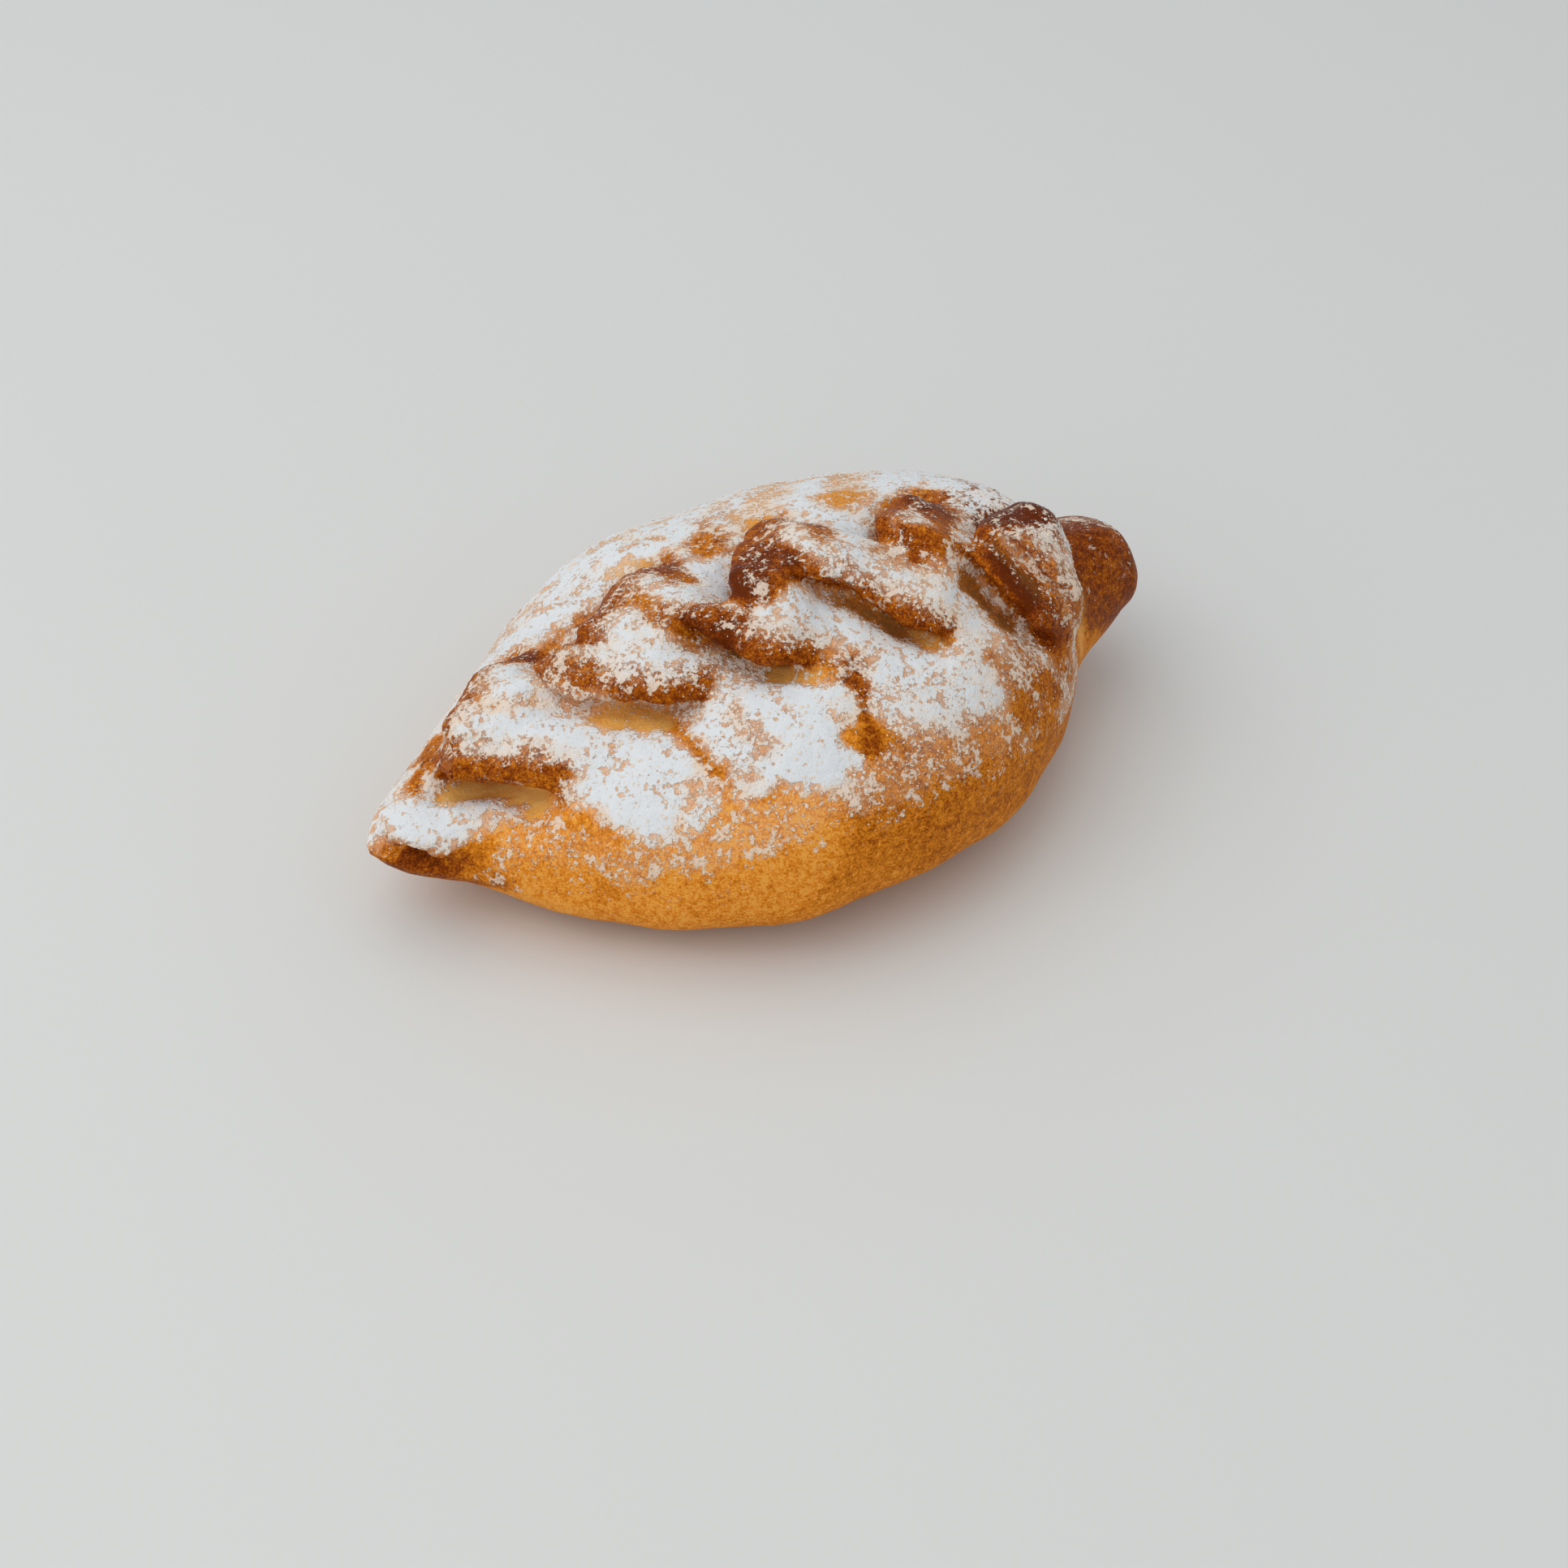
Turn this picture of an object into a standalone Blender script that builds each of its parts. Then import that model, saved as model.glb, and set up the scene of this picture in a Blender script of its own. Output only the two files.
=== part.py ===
"""A pirozhok: a boat-shaped filled bun, closed along its top by overlapping lips of dough.

The bun is one closed solid. Its bare loaf is a stack of rounded cross-sections along X, sized by the
tables below. The lips are then raised on that loaf: each follows a line drawn on the loaf's top, and
every point near the line moves along one lip section, so that the lip stands up, leans over and leaves
an open crease under its nose. The fine skin is thinned out by a Decimate modifier, and the underside is
cut flat where the bun sat on its baking tray.

Metres, +Z up. X runs from the near tip to the far tip, and the origin is under the middle, on the table.
"""

from typing import NamedTuple

import bmesh
import bpy
import numpy as np
from mathutils import Matrix, Vector, noise

MM = 0.001

# Driving dimensions
LENGTH = 158 * MM
HALF_WIDTH = 48 * MM
HEIGHT = 47 * MM
TRAY_CUT = 0.8 * MM  # how much of the rounded underside the tray has pressed flat
BELLY_SHARE = 0.40  # the loaf is widest at this share of its height
NEAR_END_ROUND = 0.035  # share of the length over which each tip closes to a round nose
FAR_END_ROUND = 0.022

# Profiles along the loaf: (share of the length from the near tip, share of the size named)
NEAR_SIDE = (
    (0.00, 0.073), (0.03, 0.13), (0.08, 0.22), (0.16, 0.475), (0.30, 0.81), (0.42, 0.97), (0.53, 0.99),
    (0.63, 0.91), (0.73, 0.75), (0.79, 0.61), (0.83, 0.46), (0.87, 0.31), (0.95, 0.19), (1.00, 0.12),
)
FAR_SIDE = (
    (0.00, 0.083), (0.03, 0.17), (0.08, 0.30), (0.16, 0.55), (0.30, 0.88), (0.42, 1.02), (0.57, 1.02),
    (0.70, 0.94), (0.78, 0.85), (0.835, 0.75), (0.87, 0.50), (0.92, 0.38), (0.97, 0.37), (1.00, 0.34),
)
CROWN = (
    (0.00, 0.39), (0.03, 0.43), (0.08, 0.50), (0.16, 0.62), (0.30, 0.84), (0.45, 0.98), (0.60, 1.00),
    (0.72, 0.97), (0.79, 0.94), (0.825, 0.90), (0.86, 0.75), (0.95, 0.70), (1.00, 0.61),
)
LIFT = (
    (0.00, 0.31), (0.08, 0.165), (0.17, 0.035), (0.28, 0.00), (0.76, 0.00), (0.83, 0.03), (0.88, 0.17),
    (0.94, 0.27), (1.00, 0.37),
)

# Superellipse powers of the cross-section along the loaf: 2 is an ellipse, less is sharper
TOP_ROUNDNESS = ((0.00, 2.7), (0.12, 2.5), (0.30, 2.15), (0.84, 2.1), (0.93, 1.65), (1.00, 1.5))
BASE_ROUNDNESS = ((0.00, 1.6), (0.12, 1.8), (0.30, 2.6), (0.75, 2.6), (1.00, 2.2))

# The section across a lip, in millimetres at full size: (distance from the lip's line on the bare
# loaf, where that point ends up along the same direction, its height). Minus is the open crease.
LIP_SECTION = (
    (-11.0, -11.0, 0.0), (-7.5, -7.0, -0.5), (-5.0, -3.6, -1.7), (-3.2, -1.4, -3.0), (-1.8, 0.5, -3.3),
    (-0.7, 1.2, -2.0), (0.3, -0.1, -0.6), (1.2, -1.8, 0.6), (2.3, -2.1, 2.0), (3.4, -0.8, 2.9),
    (5.6, 2.6, 3.3), (9.0, 7.4, 2.8), (14.0, 13.2, 1.4), (20.0, 20.0, 0.0),
)

BROW_REACH = 3.4  # the section's highest point; the slope behind it starts here


class Lip(NamedTuple):
    """A lip of dough: its line on the loaf's top and how strongly it is raised."""

    name: str
    line: tuple  # (share of the length, millimetres across the top from the crest, minus is near)
    size: float  # scale of LIP_SECTION
    start_fade: float  # share of the line over which the lip grows from nothing
    end_fade: float
    faces: int  # which side of the line is the open crease: 1 or -1
    back: float = 1.0  # length of the slope behind the brow, as a share of the section's own


LIPS = (
    Lip("near_tip_fold", ((0.015, 3.0), (0.028, -3.0), (0.055, -9.0), (0.100, -16.5)), 0.60, 0.3, 0.4, 1),
    Lip("near_1", ((0.084, 6.5), (0.130, 0.0), (0.165, -7.8), (0.202, -22.0)), 1.50, 0.25, 0.35, 1),
    Lip("near_2", ((0.243, 4.5), (0.262, -2.5), (0.309, -10.7), (0.373, -20.5)), 1.15, 0.25, 0.25, 1),
    Lip("near_3", ((0.390, -2.5), (0.404, -8.5), (0.434, -17.2), (0.494, -25.0)), 1.15, 0.2, 0.3, 1),
    Lip("near_4", ((0.502, -7.5), (0.557, -10.3), (0.596, -18.5), (0.645, -29.0)), 1.15, 0.25, 0.25, 1),
    Lip("near_5", ((0.706, -9.0), (0.729, -16.0), (0.751, -23.5), (0.773, -34.5)), 1.40, 0.3, 0.40, 1, 0.35),
    Lip("near_6", ((0.756, -6.5), (0.778, -13.5), (0.796, -21.0), (0.806, -30.5)), 0.60, 0.3, 0.45, 1),
    Lip("far_1", ((0.142, 2.5), (0.172, 9.5), (0.205, 13.8), (0.265, 17.0)), 0.85, 0.25, 0.4, -1),
    Lip("far_2", ((0.242, 2.5), (0.254, 6.5), (0.273, 9.8), (0.314, 12.3)), 0.95, 0.35, 0.5, -1),
    Lip("far_3", ((0.280, 2.0), (0.316, 9.3), (0.366, 13.8), (0.444, 17.4)), 1.25, 0.25, 0.35, -1),
    Lip("far_4", ((0.433, -7.0), (0.487, 2.3), (0.531, 8.0), (0.605, 12.1)), 1.40, 0.2, 0.35, -1),
    Lip("far_5", ((0.617, -3.5), (0.660, 1.5), (0.705, 5.5), (0.773, 8.0)), 1.40, 0.25, 0.4, -1),
    Lip("far_6", ((0.726, -9.5), (0.764, -4.8), (0.800, -3.6), (0.850, -3.6)), 1.05, 0.2, 0.22, -1, 0.6),
    Lip("far_tip_collar", ((0.868, 18.0), (0.848, 2.0), (0.830, -13.0), (0.818, -34.0)), 0.50, 0.3, 0.3, -1),
)

# A lip's line wanders and its height varies: (size of the waves, how much)
LIP_WANDER = ((11 * MM, 0.8 * MM), (4.5 * MM, 0.5 * MM))
LIP_UNEVENNESS = ((13 * MM, 0.35),)

# The skin's own unevenness: (size of the swellings, how far they stand out)
SWELLINGS = ((26 * MM, 0.9 * MM), (11 * MM, 0.45 * MM))

RINGS = 230  # fine skin, before it is thinned
TOP_COLUMNS = 150
BASE_COLUMNS = 40
END_CROWDING = 0.45  # how much closer the rings lie towards the tips
MOST_TRIANGLES = 11600
LINE_SAMPLES = 40

CRUST_COLOUR = (0.58, 0.27, 0.075, 1.0)
CRUST_ROUGHNESS = 0.55


def through(table, at):
    """Smooth values at the places asked, through (place, value) pairs, with no overshoot between them."""
    x, y = np.array(table, float).T
    width = np.diff(x)
    slope = np.diff(y) / width
    tangent = np.zeros(len(x))
    tangent[0], tangent[-1] = slope[0], slope[-1]
    for i in range(1, len(x) - 1):
        if slope[i - 1] * slope[i] > 0:
            before, after = 2 * width[i] + width[i - 1], width[i] + 2 * width[i - 1]
            tangent[i] = (before + after) / (before / slope[i - 1] + after / slope[i])
    i = np.clip(np.searchsorted(x, at) - 1, 0, len(x) - 2)
    s = (np.clip(at, x[0], x[-1]) - x[i]) / width[i]
    return (
        (1 + 2 * s) * (1 - s) ** 2 * y[i]
        + s * (1 - s) ** 2 * width[i] * tangent[i]
        + s**2 * (3 - 2 * s) * y[i + 1]
        + s**2 * (s - 1) * width[i] * tangent[i + 1]
    )


def smooth_step(t):
    t = np.clip(t, 0, 1)
    return t * t * (3 - 2 * t)


def end_rounding(share):
    """How far each section has opened: 0 at the tips' very ends, 1 along the loaf."""
    near = np.clip(1 - share / NEAR_END_ROUND, 0, 1)
    far = np.clip(1 - (1 - share) / FAR_END_ROUND, 0, 1)
    return np.sqrt(1 - near**2) * np.sqrt(1 - far**2)


def loaf(share, angle):
    """Points of the bare loaf. The angle is 0 on the near side, a quarter turn on the crest."""
    cosine, sine = np.cos(angle), np.sin(angle)
    side = HALF_WIDTH * np.where(cosine > 0, through(NEAR_SIDE, share), through(FAR_SIDE, share))
    crown = (HEIGHT + TRAY_CUT) * through(CROWN, share)
    lift = HEIGHT * through(LIFT, share)
    belly = lift + BELLY_SHARE * (crown - lift)
    power = 2 / np.where(sine > 0, through(TOP_ROUNDNESS, share), through(BASE_ROUNDNESS, share))
    y = -np.sign(cosine) * side * np.abs(cosine) ** power
    z = belly + np.where(sine > 0, crown - belly, lift - belly) * np.abs(sine) ** power
    opened = end_rounding(share)
    middle = (crown + lift) / 2
    x = LENGTH * (share - 0.5)
    return np.stack([x * np.ones_like(y), y * opened, middle + (z - middle) * opened - TRAY_CUT], -1)


def skin_frame(points):
    """Unit vectors along the loaf, across it (near to far) and out of it, at each point of a grid."""
    along = np.gradient(points, axis=0)
    across = np.gradient(points, axis=1)
    across[:, 0] = across[:, -1] = points[:, 1] - points[:, -2]
    out = np.cross(along, across)
    vectors = []
    for v in (along, across, out):
        length = np.linalg.norm(v, axis=-1, keepdims=True)
        vectors.append(v / np.maximum(length, 1e-12))
    along, across, out = vectors
    return along, np.cross(out, along), out


def distance_across_top(points, crest):
    """Distance over the skin from the crest line, minus on the near side."""
    steps = np.linalg.norm(np.diff(points, axis=1), axis=2)
    run = np.concatenate([np.zeros((len(points), 1)), np.cumsum(steps, axis=1)], axis=1)
    return run - run[:, crest : crest + 1]


def lip_line(lip):
    """The lip's line as points in the flattened top: (metres along X, metres across)."""
    knots = np.array(lip.line, float)
    at = np.linspace(0, 1, len(knots))
    samples = np.linspace(0, 1, LINE_SAMPLES)
    x = through(np.column_stack([at, LENGTH * (knots[:, 0] - 0.5)]), samples)
    across = through(np.column_stack([at, MM * knots[:, 1]]), samples)
    return np.column_stack([x, across])


def lip_shift(lip, x, across, wander, uneven):
    """How far the lip moves each point: along X, across the top, and out of the skin."""
    line = lip_line(lip)
    nearest = np.full(x.shape, np.inf)
    place = np.zeros(x.shape)
    to_x, to_across = np.ones(x.shape), np.zeros(x.shape)
    side = np.ones(x.shape)
    for i, (start, end) in enumerate(zip(line[:-1], line[1:])):
        step = end - start
        t = np.clip(((x - start[0]) * step[0] + (across - start[1]) * step[1]) / (step @ step), 0, 1)
        off_x, off_across = x - start[0] - t * step[0], across - start[1] - t * step[1]
        distance = np.hypot(off_x, off_across)
        closer = distance < nearest
        nearest = np.where(closer, distance, nearest)
        place = np.where(closer, (i + t) / (len(line) - 1), place)
        turn = np.sign(step[0] * off_across - step[1] * off_x) * lip.faces
        side = np.where(closer, turn, side)
        normal = np.array([-step[1], step[0]]) * lip.faces / np.hypot(*step)
        to_x, to_across = np.where(closer, normal[0], to_x), np.where(closer, normal[1], to_across)
    grown = smooth_step(place / lip.start_fade) * smooth_step((1 - place) / lip.end_fade)
    strength = lip.size * grown * (1 + uneven)
    reach = (nearest * side + wander) / (MM * lip.size)
    reach = np.where(reach > BROW_REACH, BROW_REACH + (reach - BROW_REACH) / lip.back, reach)
    section = np.array(LIP_SECTION, float)
    run = through(section[:, :2], reach) - np.clip(reach, section[0, 0], section[-1, 0])
    rise = through(section[:, ::2], reach)
    return run * strength * MM * to_x, run * strength * MM * to_across, rise * strength * MM


def waves(points, layers):
    """Smooth random waves at each point of a grid: a sum of (size, depth) layers."""
    heights = [sum(depth * noise.noise(p / size) for size, depth in layers) for p in map(Vector, points)]
    return np.array(heights)


def crust_grid():
    """The bun's skin as a grid of points: one row for each ring, one column round the loaf."""
    even = np.linspace(0, 1, RINGS)
    share = even - END_CROWDING * np.sin(2 * np.pi * even) / (2 * np.pi)
    base = np.linspace(-np.pi, 0, BASE_COLUMNS, endpoint=False)
    top = np.linspace(0, np.pi, TOP_COLUMNS)
    angle = np.concatenate([base, top])
    points = loaf(*np.meshgrid(share, angle, indexing="ij"))
    crest = BASE_COLUMNS + TOP_COLUMNS // 2
    across = distance_across_top(points, crest)
    along_unit, across_unit, out = skin_frame(points)
    shift = np.zeros(points.shape)
    flat = points.reshape(-1, 3)
    wander = waves(flat, LIP_WANDER).reshape(across.shape)
    uneven = waves(flat, LIP_UNEVENNESS).reshape(across.shape)
    for lip in LIPS:
        by_x, by_across, by_out = lip_shift(lip, points[..., 0], across, wander, uneven)
        shift += by_x[..., None] * along_unit + by_across[..., None] * across_unit + by_out[..., None] * out
    bumps = waves(flat, SWELLINGS).reshape(across.shape)
    return points + shift + bumps[..., None] * out


def skin_mesh(name, grid):
    """A closed mesh from the grid: rings of quads, with a fan at each tip."""
    rings = grid[1:-1, :-1]
    count, columns = rings.shape[:2]
    points = [tuple(p) for p in rings.reshape(-1, 3)]
    points += [tuple(grid[0, 0]), tuple(grid[-1, 0])]
    near_pole, far_pole = count * columns, count * columns + 1
    faces = []
    for c in range(columns):
        n = (c + 1) % columns
        faces.append((near_pole, c, n))
        faces.append((far_pole, (count - 1) * columns + n, (count - 1) * columns + c))
        for r in range(count - 1):
            faces.append((r * columns + c, (r + 1) * columns + c, (r + 1) * columns + n, r * columns + n))
    mesh = bpy.data.meshes.new(name)
    mesh.from_pydata(points, [], faces)
    return mesh


def thin_out(obj):
    """Lowers the skin's triangle count with a Decimate modifier and applies it."""
    triangles = sum(len(p.vertices) - 2 for p in obj.data.polygons)
    modifier = obj.modifiers.new("thin_out", "DECIMATE")
    modifier.ratio = MOST_TRIANGLES / triangles
    graph = bpy.context.evaluated_depsgraph_get()
    thinned = bpy.data.meshes.new_from_object(obj.evaluated_get(graph))
    obj.modifiers.remove(modifier)
    obj.data = thinned


def press_flat(obj):
    """Cuts the underside off at the table's height and closes the cut with one flat face."""
    shape = bmesh.new()
    shape.from_mesh(obj.data)
    bmesh.ops.bisect_plane(
        shape,
        geom=shape.verts[:] + shape.edges[:] + shape.faces[:],
        dist=1e-6,
        plane_co=(0, 0, 0),
        plane_no=(0, 0, -1),
        clear_outer=True,
    )
    rim = [e for e in shape.edges if e.is_boundary]
    for v in {v for e in rim for v in e.verts}:
        v.co.z = 0
    bmesh.ops.contextual_create(shape, geom=rim)
    bmesh.ops.triangulate(shape, faces=shape.faces[:])
    bmesh.ops.recalc_face_normals(shape, faces=shape.faces[:])
    shape.to_mesh(obj.data)
    shape.free()


def centre_on_origin(obj):
    """Moves the mesh sideways so that the origin is under the middle of its box."""
    corners = np.array([v.co for v in obj.data.vertices])
    middle = (corners.min(axis=0) + corners.max(axis=0)) / 2
    obj.data.transform(Matrix.Translation((-middle[0], -middle[1], 0)))


def crust_material():
    material = bpy.data.materials.new("baked_crust")
    material.use_nodes = True
    shader = material.node_tree.nodes["Principled BSDF"]
    shader.inputs["Base Color"].default_value = CRUST_COLOUR
    shader.inputs["Roughness"].default_value = CRUST_ROUGHNESS
    shader.inputs["Metallic"].default_value = 0.0
    return material


def make_pirozhok():
    bun = bpy.data.objects.new("pirozhok", skin_mesh("pirozhok", crust_grid()))
    bpy.context.scene.collection.objects.link(bun)
    thin_out(bun)
    press_flat(bun)
    centre_on_origin(bun)
    bun.data.materials.append(crust_material())
    bun.data.shade_smooth()
    return bun


def main():
    for obj in list(bpy.data.objects):
        bpy.data.objects.remove(obj)
    make_pirozhok()


if __name__ == "__main__":
    main()
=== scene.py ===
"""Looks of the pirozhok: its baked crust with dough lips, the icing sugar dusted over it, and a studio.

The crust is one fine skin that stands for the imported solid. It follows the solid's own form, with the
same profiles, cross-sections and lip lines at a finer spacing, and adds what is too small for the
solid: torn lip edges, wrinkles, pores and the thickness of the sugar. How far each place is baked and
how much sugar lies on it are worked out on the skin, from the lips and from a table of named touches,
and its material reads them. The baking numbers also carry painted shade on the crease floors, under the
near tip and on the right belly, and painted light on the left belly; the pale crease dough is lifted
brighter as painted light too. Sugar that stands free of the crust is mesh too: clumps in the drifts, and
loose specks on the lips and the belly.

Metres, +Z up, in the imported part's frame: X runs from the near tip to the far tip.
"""

import logging
import math
from dataclasses import dataclass, field
from enum import Enum

import bpy
import numpy as np
from mathutils import Matrix, Vector, noise

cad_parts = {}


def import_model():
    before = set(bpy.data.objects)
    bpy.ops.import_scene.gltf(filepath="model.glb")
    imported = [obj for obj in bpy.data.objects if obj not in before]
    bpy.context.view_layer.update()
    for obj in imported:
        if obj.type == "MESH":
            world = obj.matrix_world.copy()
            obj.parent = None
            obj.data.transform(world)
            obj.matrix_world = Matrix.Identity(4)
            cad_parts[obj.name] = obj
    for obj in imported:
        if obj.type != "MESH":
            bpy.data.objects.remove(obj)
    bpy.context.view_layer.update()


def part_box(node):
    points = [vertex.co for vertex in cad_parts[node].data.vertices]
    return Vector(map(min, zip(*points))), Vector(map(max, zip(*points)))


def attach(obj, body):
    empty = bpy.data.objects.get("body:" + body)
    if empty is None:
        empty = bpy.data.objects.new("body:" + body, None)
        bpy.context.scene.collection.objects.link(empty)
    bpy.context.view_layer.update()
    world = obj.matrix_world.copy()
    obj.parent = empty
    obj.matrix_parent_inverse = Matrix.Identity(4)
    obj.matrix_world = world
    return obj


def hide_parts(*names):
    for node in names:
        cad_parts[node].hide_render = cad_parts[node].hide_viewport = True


MM = 0.001
BODY = "root"
NODE = "pirozhok"
TINY = 1e-12
LENGTH_PARTS = 1000

Table = tuple[tuple[float, ...], ...]
Colour = tuple[float, float, float]
Pair = tuple[float, float]
Band = tuple[float, float, float, float]
Socket = bpy.types.NodeSocket

log = logging.getLogger("pirozhok")


# ---------------- shared helpers


def through(table: Table, at: np.ndarray) -> np.ndarray:
    """Gives smooth values between (place, value) pairs, with no overshoot.

    Args:
        table: The pairs, in order of place.
        at: The places asked for. Outside the table the end values hold.

    Returns:
        One value for each place.
    """
    x, y = np.array(table, float).T
    width = np.diff(x)
    slope = np.diff(y) / width
    tangent = np.zeros(len(x))
    tangent[0], tangent[-1] = slope[0], slope[-1]
    for i in range(1, len(x) - 1):
        if slope[i - 1] * slope[i] > 0:
            before, after = 2 * width[i] + width[i - 1], width[i] + 2 * width[i - 1]
            tangent[i] = (before + after) / (before / slope[i - 1] + after / slope[i])
    i = np.clip(np.searchsorted(x, at) - 1, 0, len(x) - 2)
    s = (np.clip(at, x[0], x[-1]) - x[i]) / width[i]
    return (
        (1 + 2 * s) * (1 - s) ** 2 * y[i]
        + s * (1 - s) ** 2 * width[i] * tangent[i]
        + s**2 * (3 - 2 * s) * y[i + 1]
        + s**2 * (s - 1) * width[i] * tangent[i + 1]
    )


def smooth_step(t: np.ndarray) -> np.ndarray:
    """Eases from 0 to 1 as t goes from 0 to 1."""
    t = np.clip(t, 0, 1)
    return t * t * (3 - 2 * t)


def hill(at: np.ndarray, foot: float, top_from: float, top_to: float, end: float) -> np.ndarray:
    """Gives 1 between top_from and top_to, easing to 0 at foot and at end."""
    return smooth_step((at - foot) / (top_from - foot)) * smooth_step((end - at) / (end - top_to))


def waves(points: np.ndarray, layers: Table) -> np.ndarray:
    """Sums smooth random waves over a grid of points.

    Args:
        points: Places in metres, with the coordinates last.
        layers: (size of the waves, how high) pairs, in metres.

    Returns:
        One height for each point.
    """
    flat = [Vector(p) for p in points.reshape(-1, 3)]
    heights = np.array([sum(depth * noise.noise(p / size) for size, depth in layers) for p in flat])
    return heights.reshape(points.shape[:-1])


def put_in_scene(name: str, data: bpy.types.ID) -> bpy.types.Object:
    """Makes an object of a mesh, a light or a camera and links it to the scene."""
    made = bpy.data.objects.new(name, data)
    bpy.context.scene.collection.objects.link(made)
    return made


def smooth_line(line: Table, length: float, unit: float, samples: int) -> np.ndarray:
    """Draws a smooth line through the knots of a lip or a touch.

    Args:
        line: The knots: (thousandths of the length, millimetres across).
        length: The loaf's length.
        unit: The size of a millimetre in the same measure.
        samples: How many points to give.

    Returns:
        The points: along the loaf from its middle, and across its top.
    """
    knots = np.array(line, float)
    columns = length * (knots[:, 0] / LENGTH_PARTS - 0.5), unit * knots[:, 1]
    at, along = np.linspace(0, 1, len(knots)), np.linspace(0, 1, samples)
    return np.column_stack([through(np.column_stack([at, column]), along) for column in columns])


# ---------------- the loaf and its lips


class Faces(Enum):
    """Which side of a lip's line is its open crease."""

    NEAR = 1
    FAR = -1


@dataclass(frozen=True)
class Lip:
    """A lip of dough: its line on the loaf's top and how strongly it is raised.

    The line is (thousandths of the length, millimetres across the top from the crest, minus is near).
    The fades are the shares of the line over which the lip grows and dies away.
    """

    name: str
    line: Table
    size: float
    start_fade: float
    end_fade: float
    faces: Faces
    browned: float = 1.0
    brown_to: float = 2.6
    back: float = 1.0


LIPS = (
    Lip("near_tip_fold", ((15, 3), (28, -3), (55, -9), (100, -16.5)), 0.6, 0.3, 0.4, Faces.NEAR, 0.45),
    Lip("near_1", ((84, 6.5), (130, 0), (165, -7.8), (202, -22)), 1.5, 0.25, 0.35, Faces.NEAR, 1.0, 3.2),
    Lip(
        "near_2", ((243, 4.5), (262, -2.5), (309, -10.7), (373, -20.5)),
        1.15, 0.25, 0.25, Faces.NEAR, 1.0, 3.5,
    ),
    Lip(
        "near_3", ((390, -2.5), (404, -8.5), (434, -17.2), (494, -25)),
        1.15, 0.2, 0.3, Faces.NEAR, 1.0, 3.3,
    ),
    Lip("near_4", ((502, -7.5), (557, -10.3), (596, -18.5), (645, -29)), 1.15, 0.25, 0.25, Faces.NEAR),
    Lip(
        "near_5", ((706, -9), (729, -16), (751, -23.5), (773, -34.5)),
        1.4, 0.3, 0.4, Faces.NEAR, 1.0, 3.9, 0.35,
    ),
    Lip("near_6", ((756, -6.5), (778, -13.5), (796, -21), (806, -30.5)), 0.6, 0.3, 0.45, Faces.NEAR, 0.35),
    Lip("far_1", ((142, 2.5), (172, 9.5), (205, 13.8), (265, 17)), 0.85, 0.25, 0.4, Faces.FAR, 1.0, 3.3),
    Lip("far_2", ((242, 2.5), (254, 6.5), (273, 9.8), (314, 12.3)), 0.95, 0.35, 0.5, Faces.FAR, 1.0, 3.3),
    Lip("far_3", ((280, 2), (316, 9.3), (366, 13.8), (444, 17.4)), 1.25, 0.25, 0.35, Faces.FAR, 1.0, 3.3),
    Lip("far_4", ((433, -7), (487, 2.3), (531, 8), (605, 12.1)), 1.4, 0.2, 0.35, Faces.FAR, 1.0, 3.3),
    Lip("far_5", ((617, -3.5), (660, 1.5), (705, 5.5), (773, 8)), 1.4, 0.25, 0.4, Faces.FAR, 1.0, 3.3),
    Lip(
        "far_6", ((726, -9.5), (764, -4.8), (800, -3.6), (850, -3.6)),
        1.05, 0.2, 0.22, Faces.FAR, 1.0, 3.3, 0.6,
    ),
    Lip("far_tip_collar", ((868, 18), (848, 2), (830, -13), (818, -34)), 0.5, 0.3, 0.3, Faces.FAR, 0),
)


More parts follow.
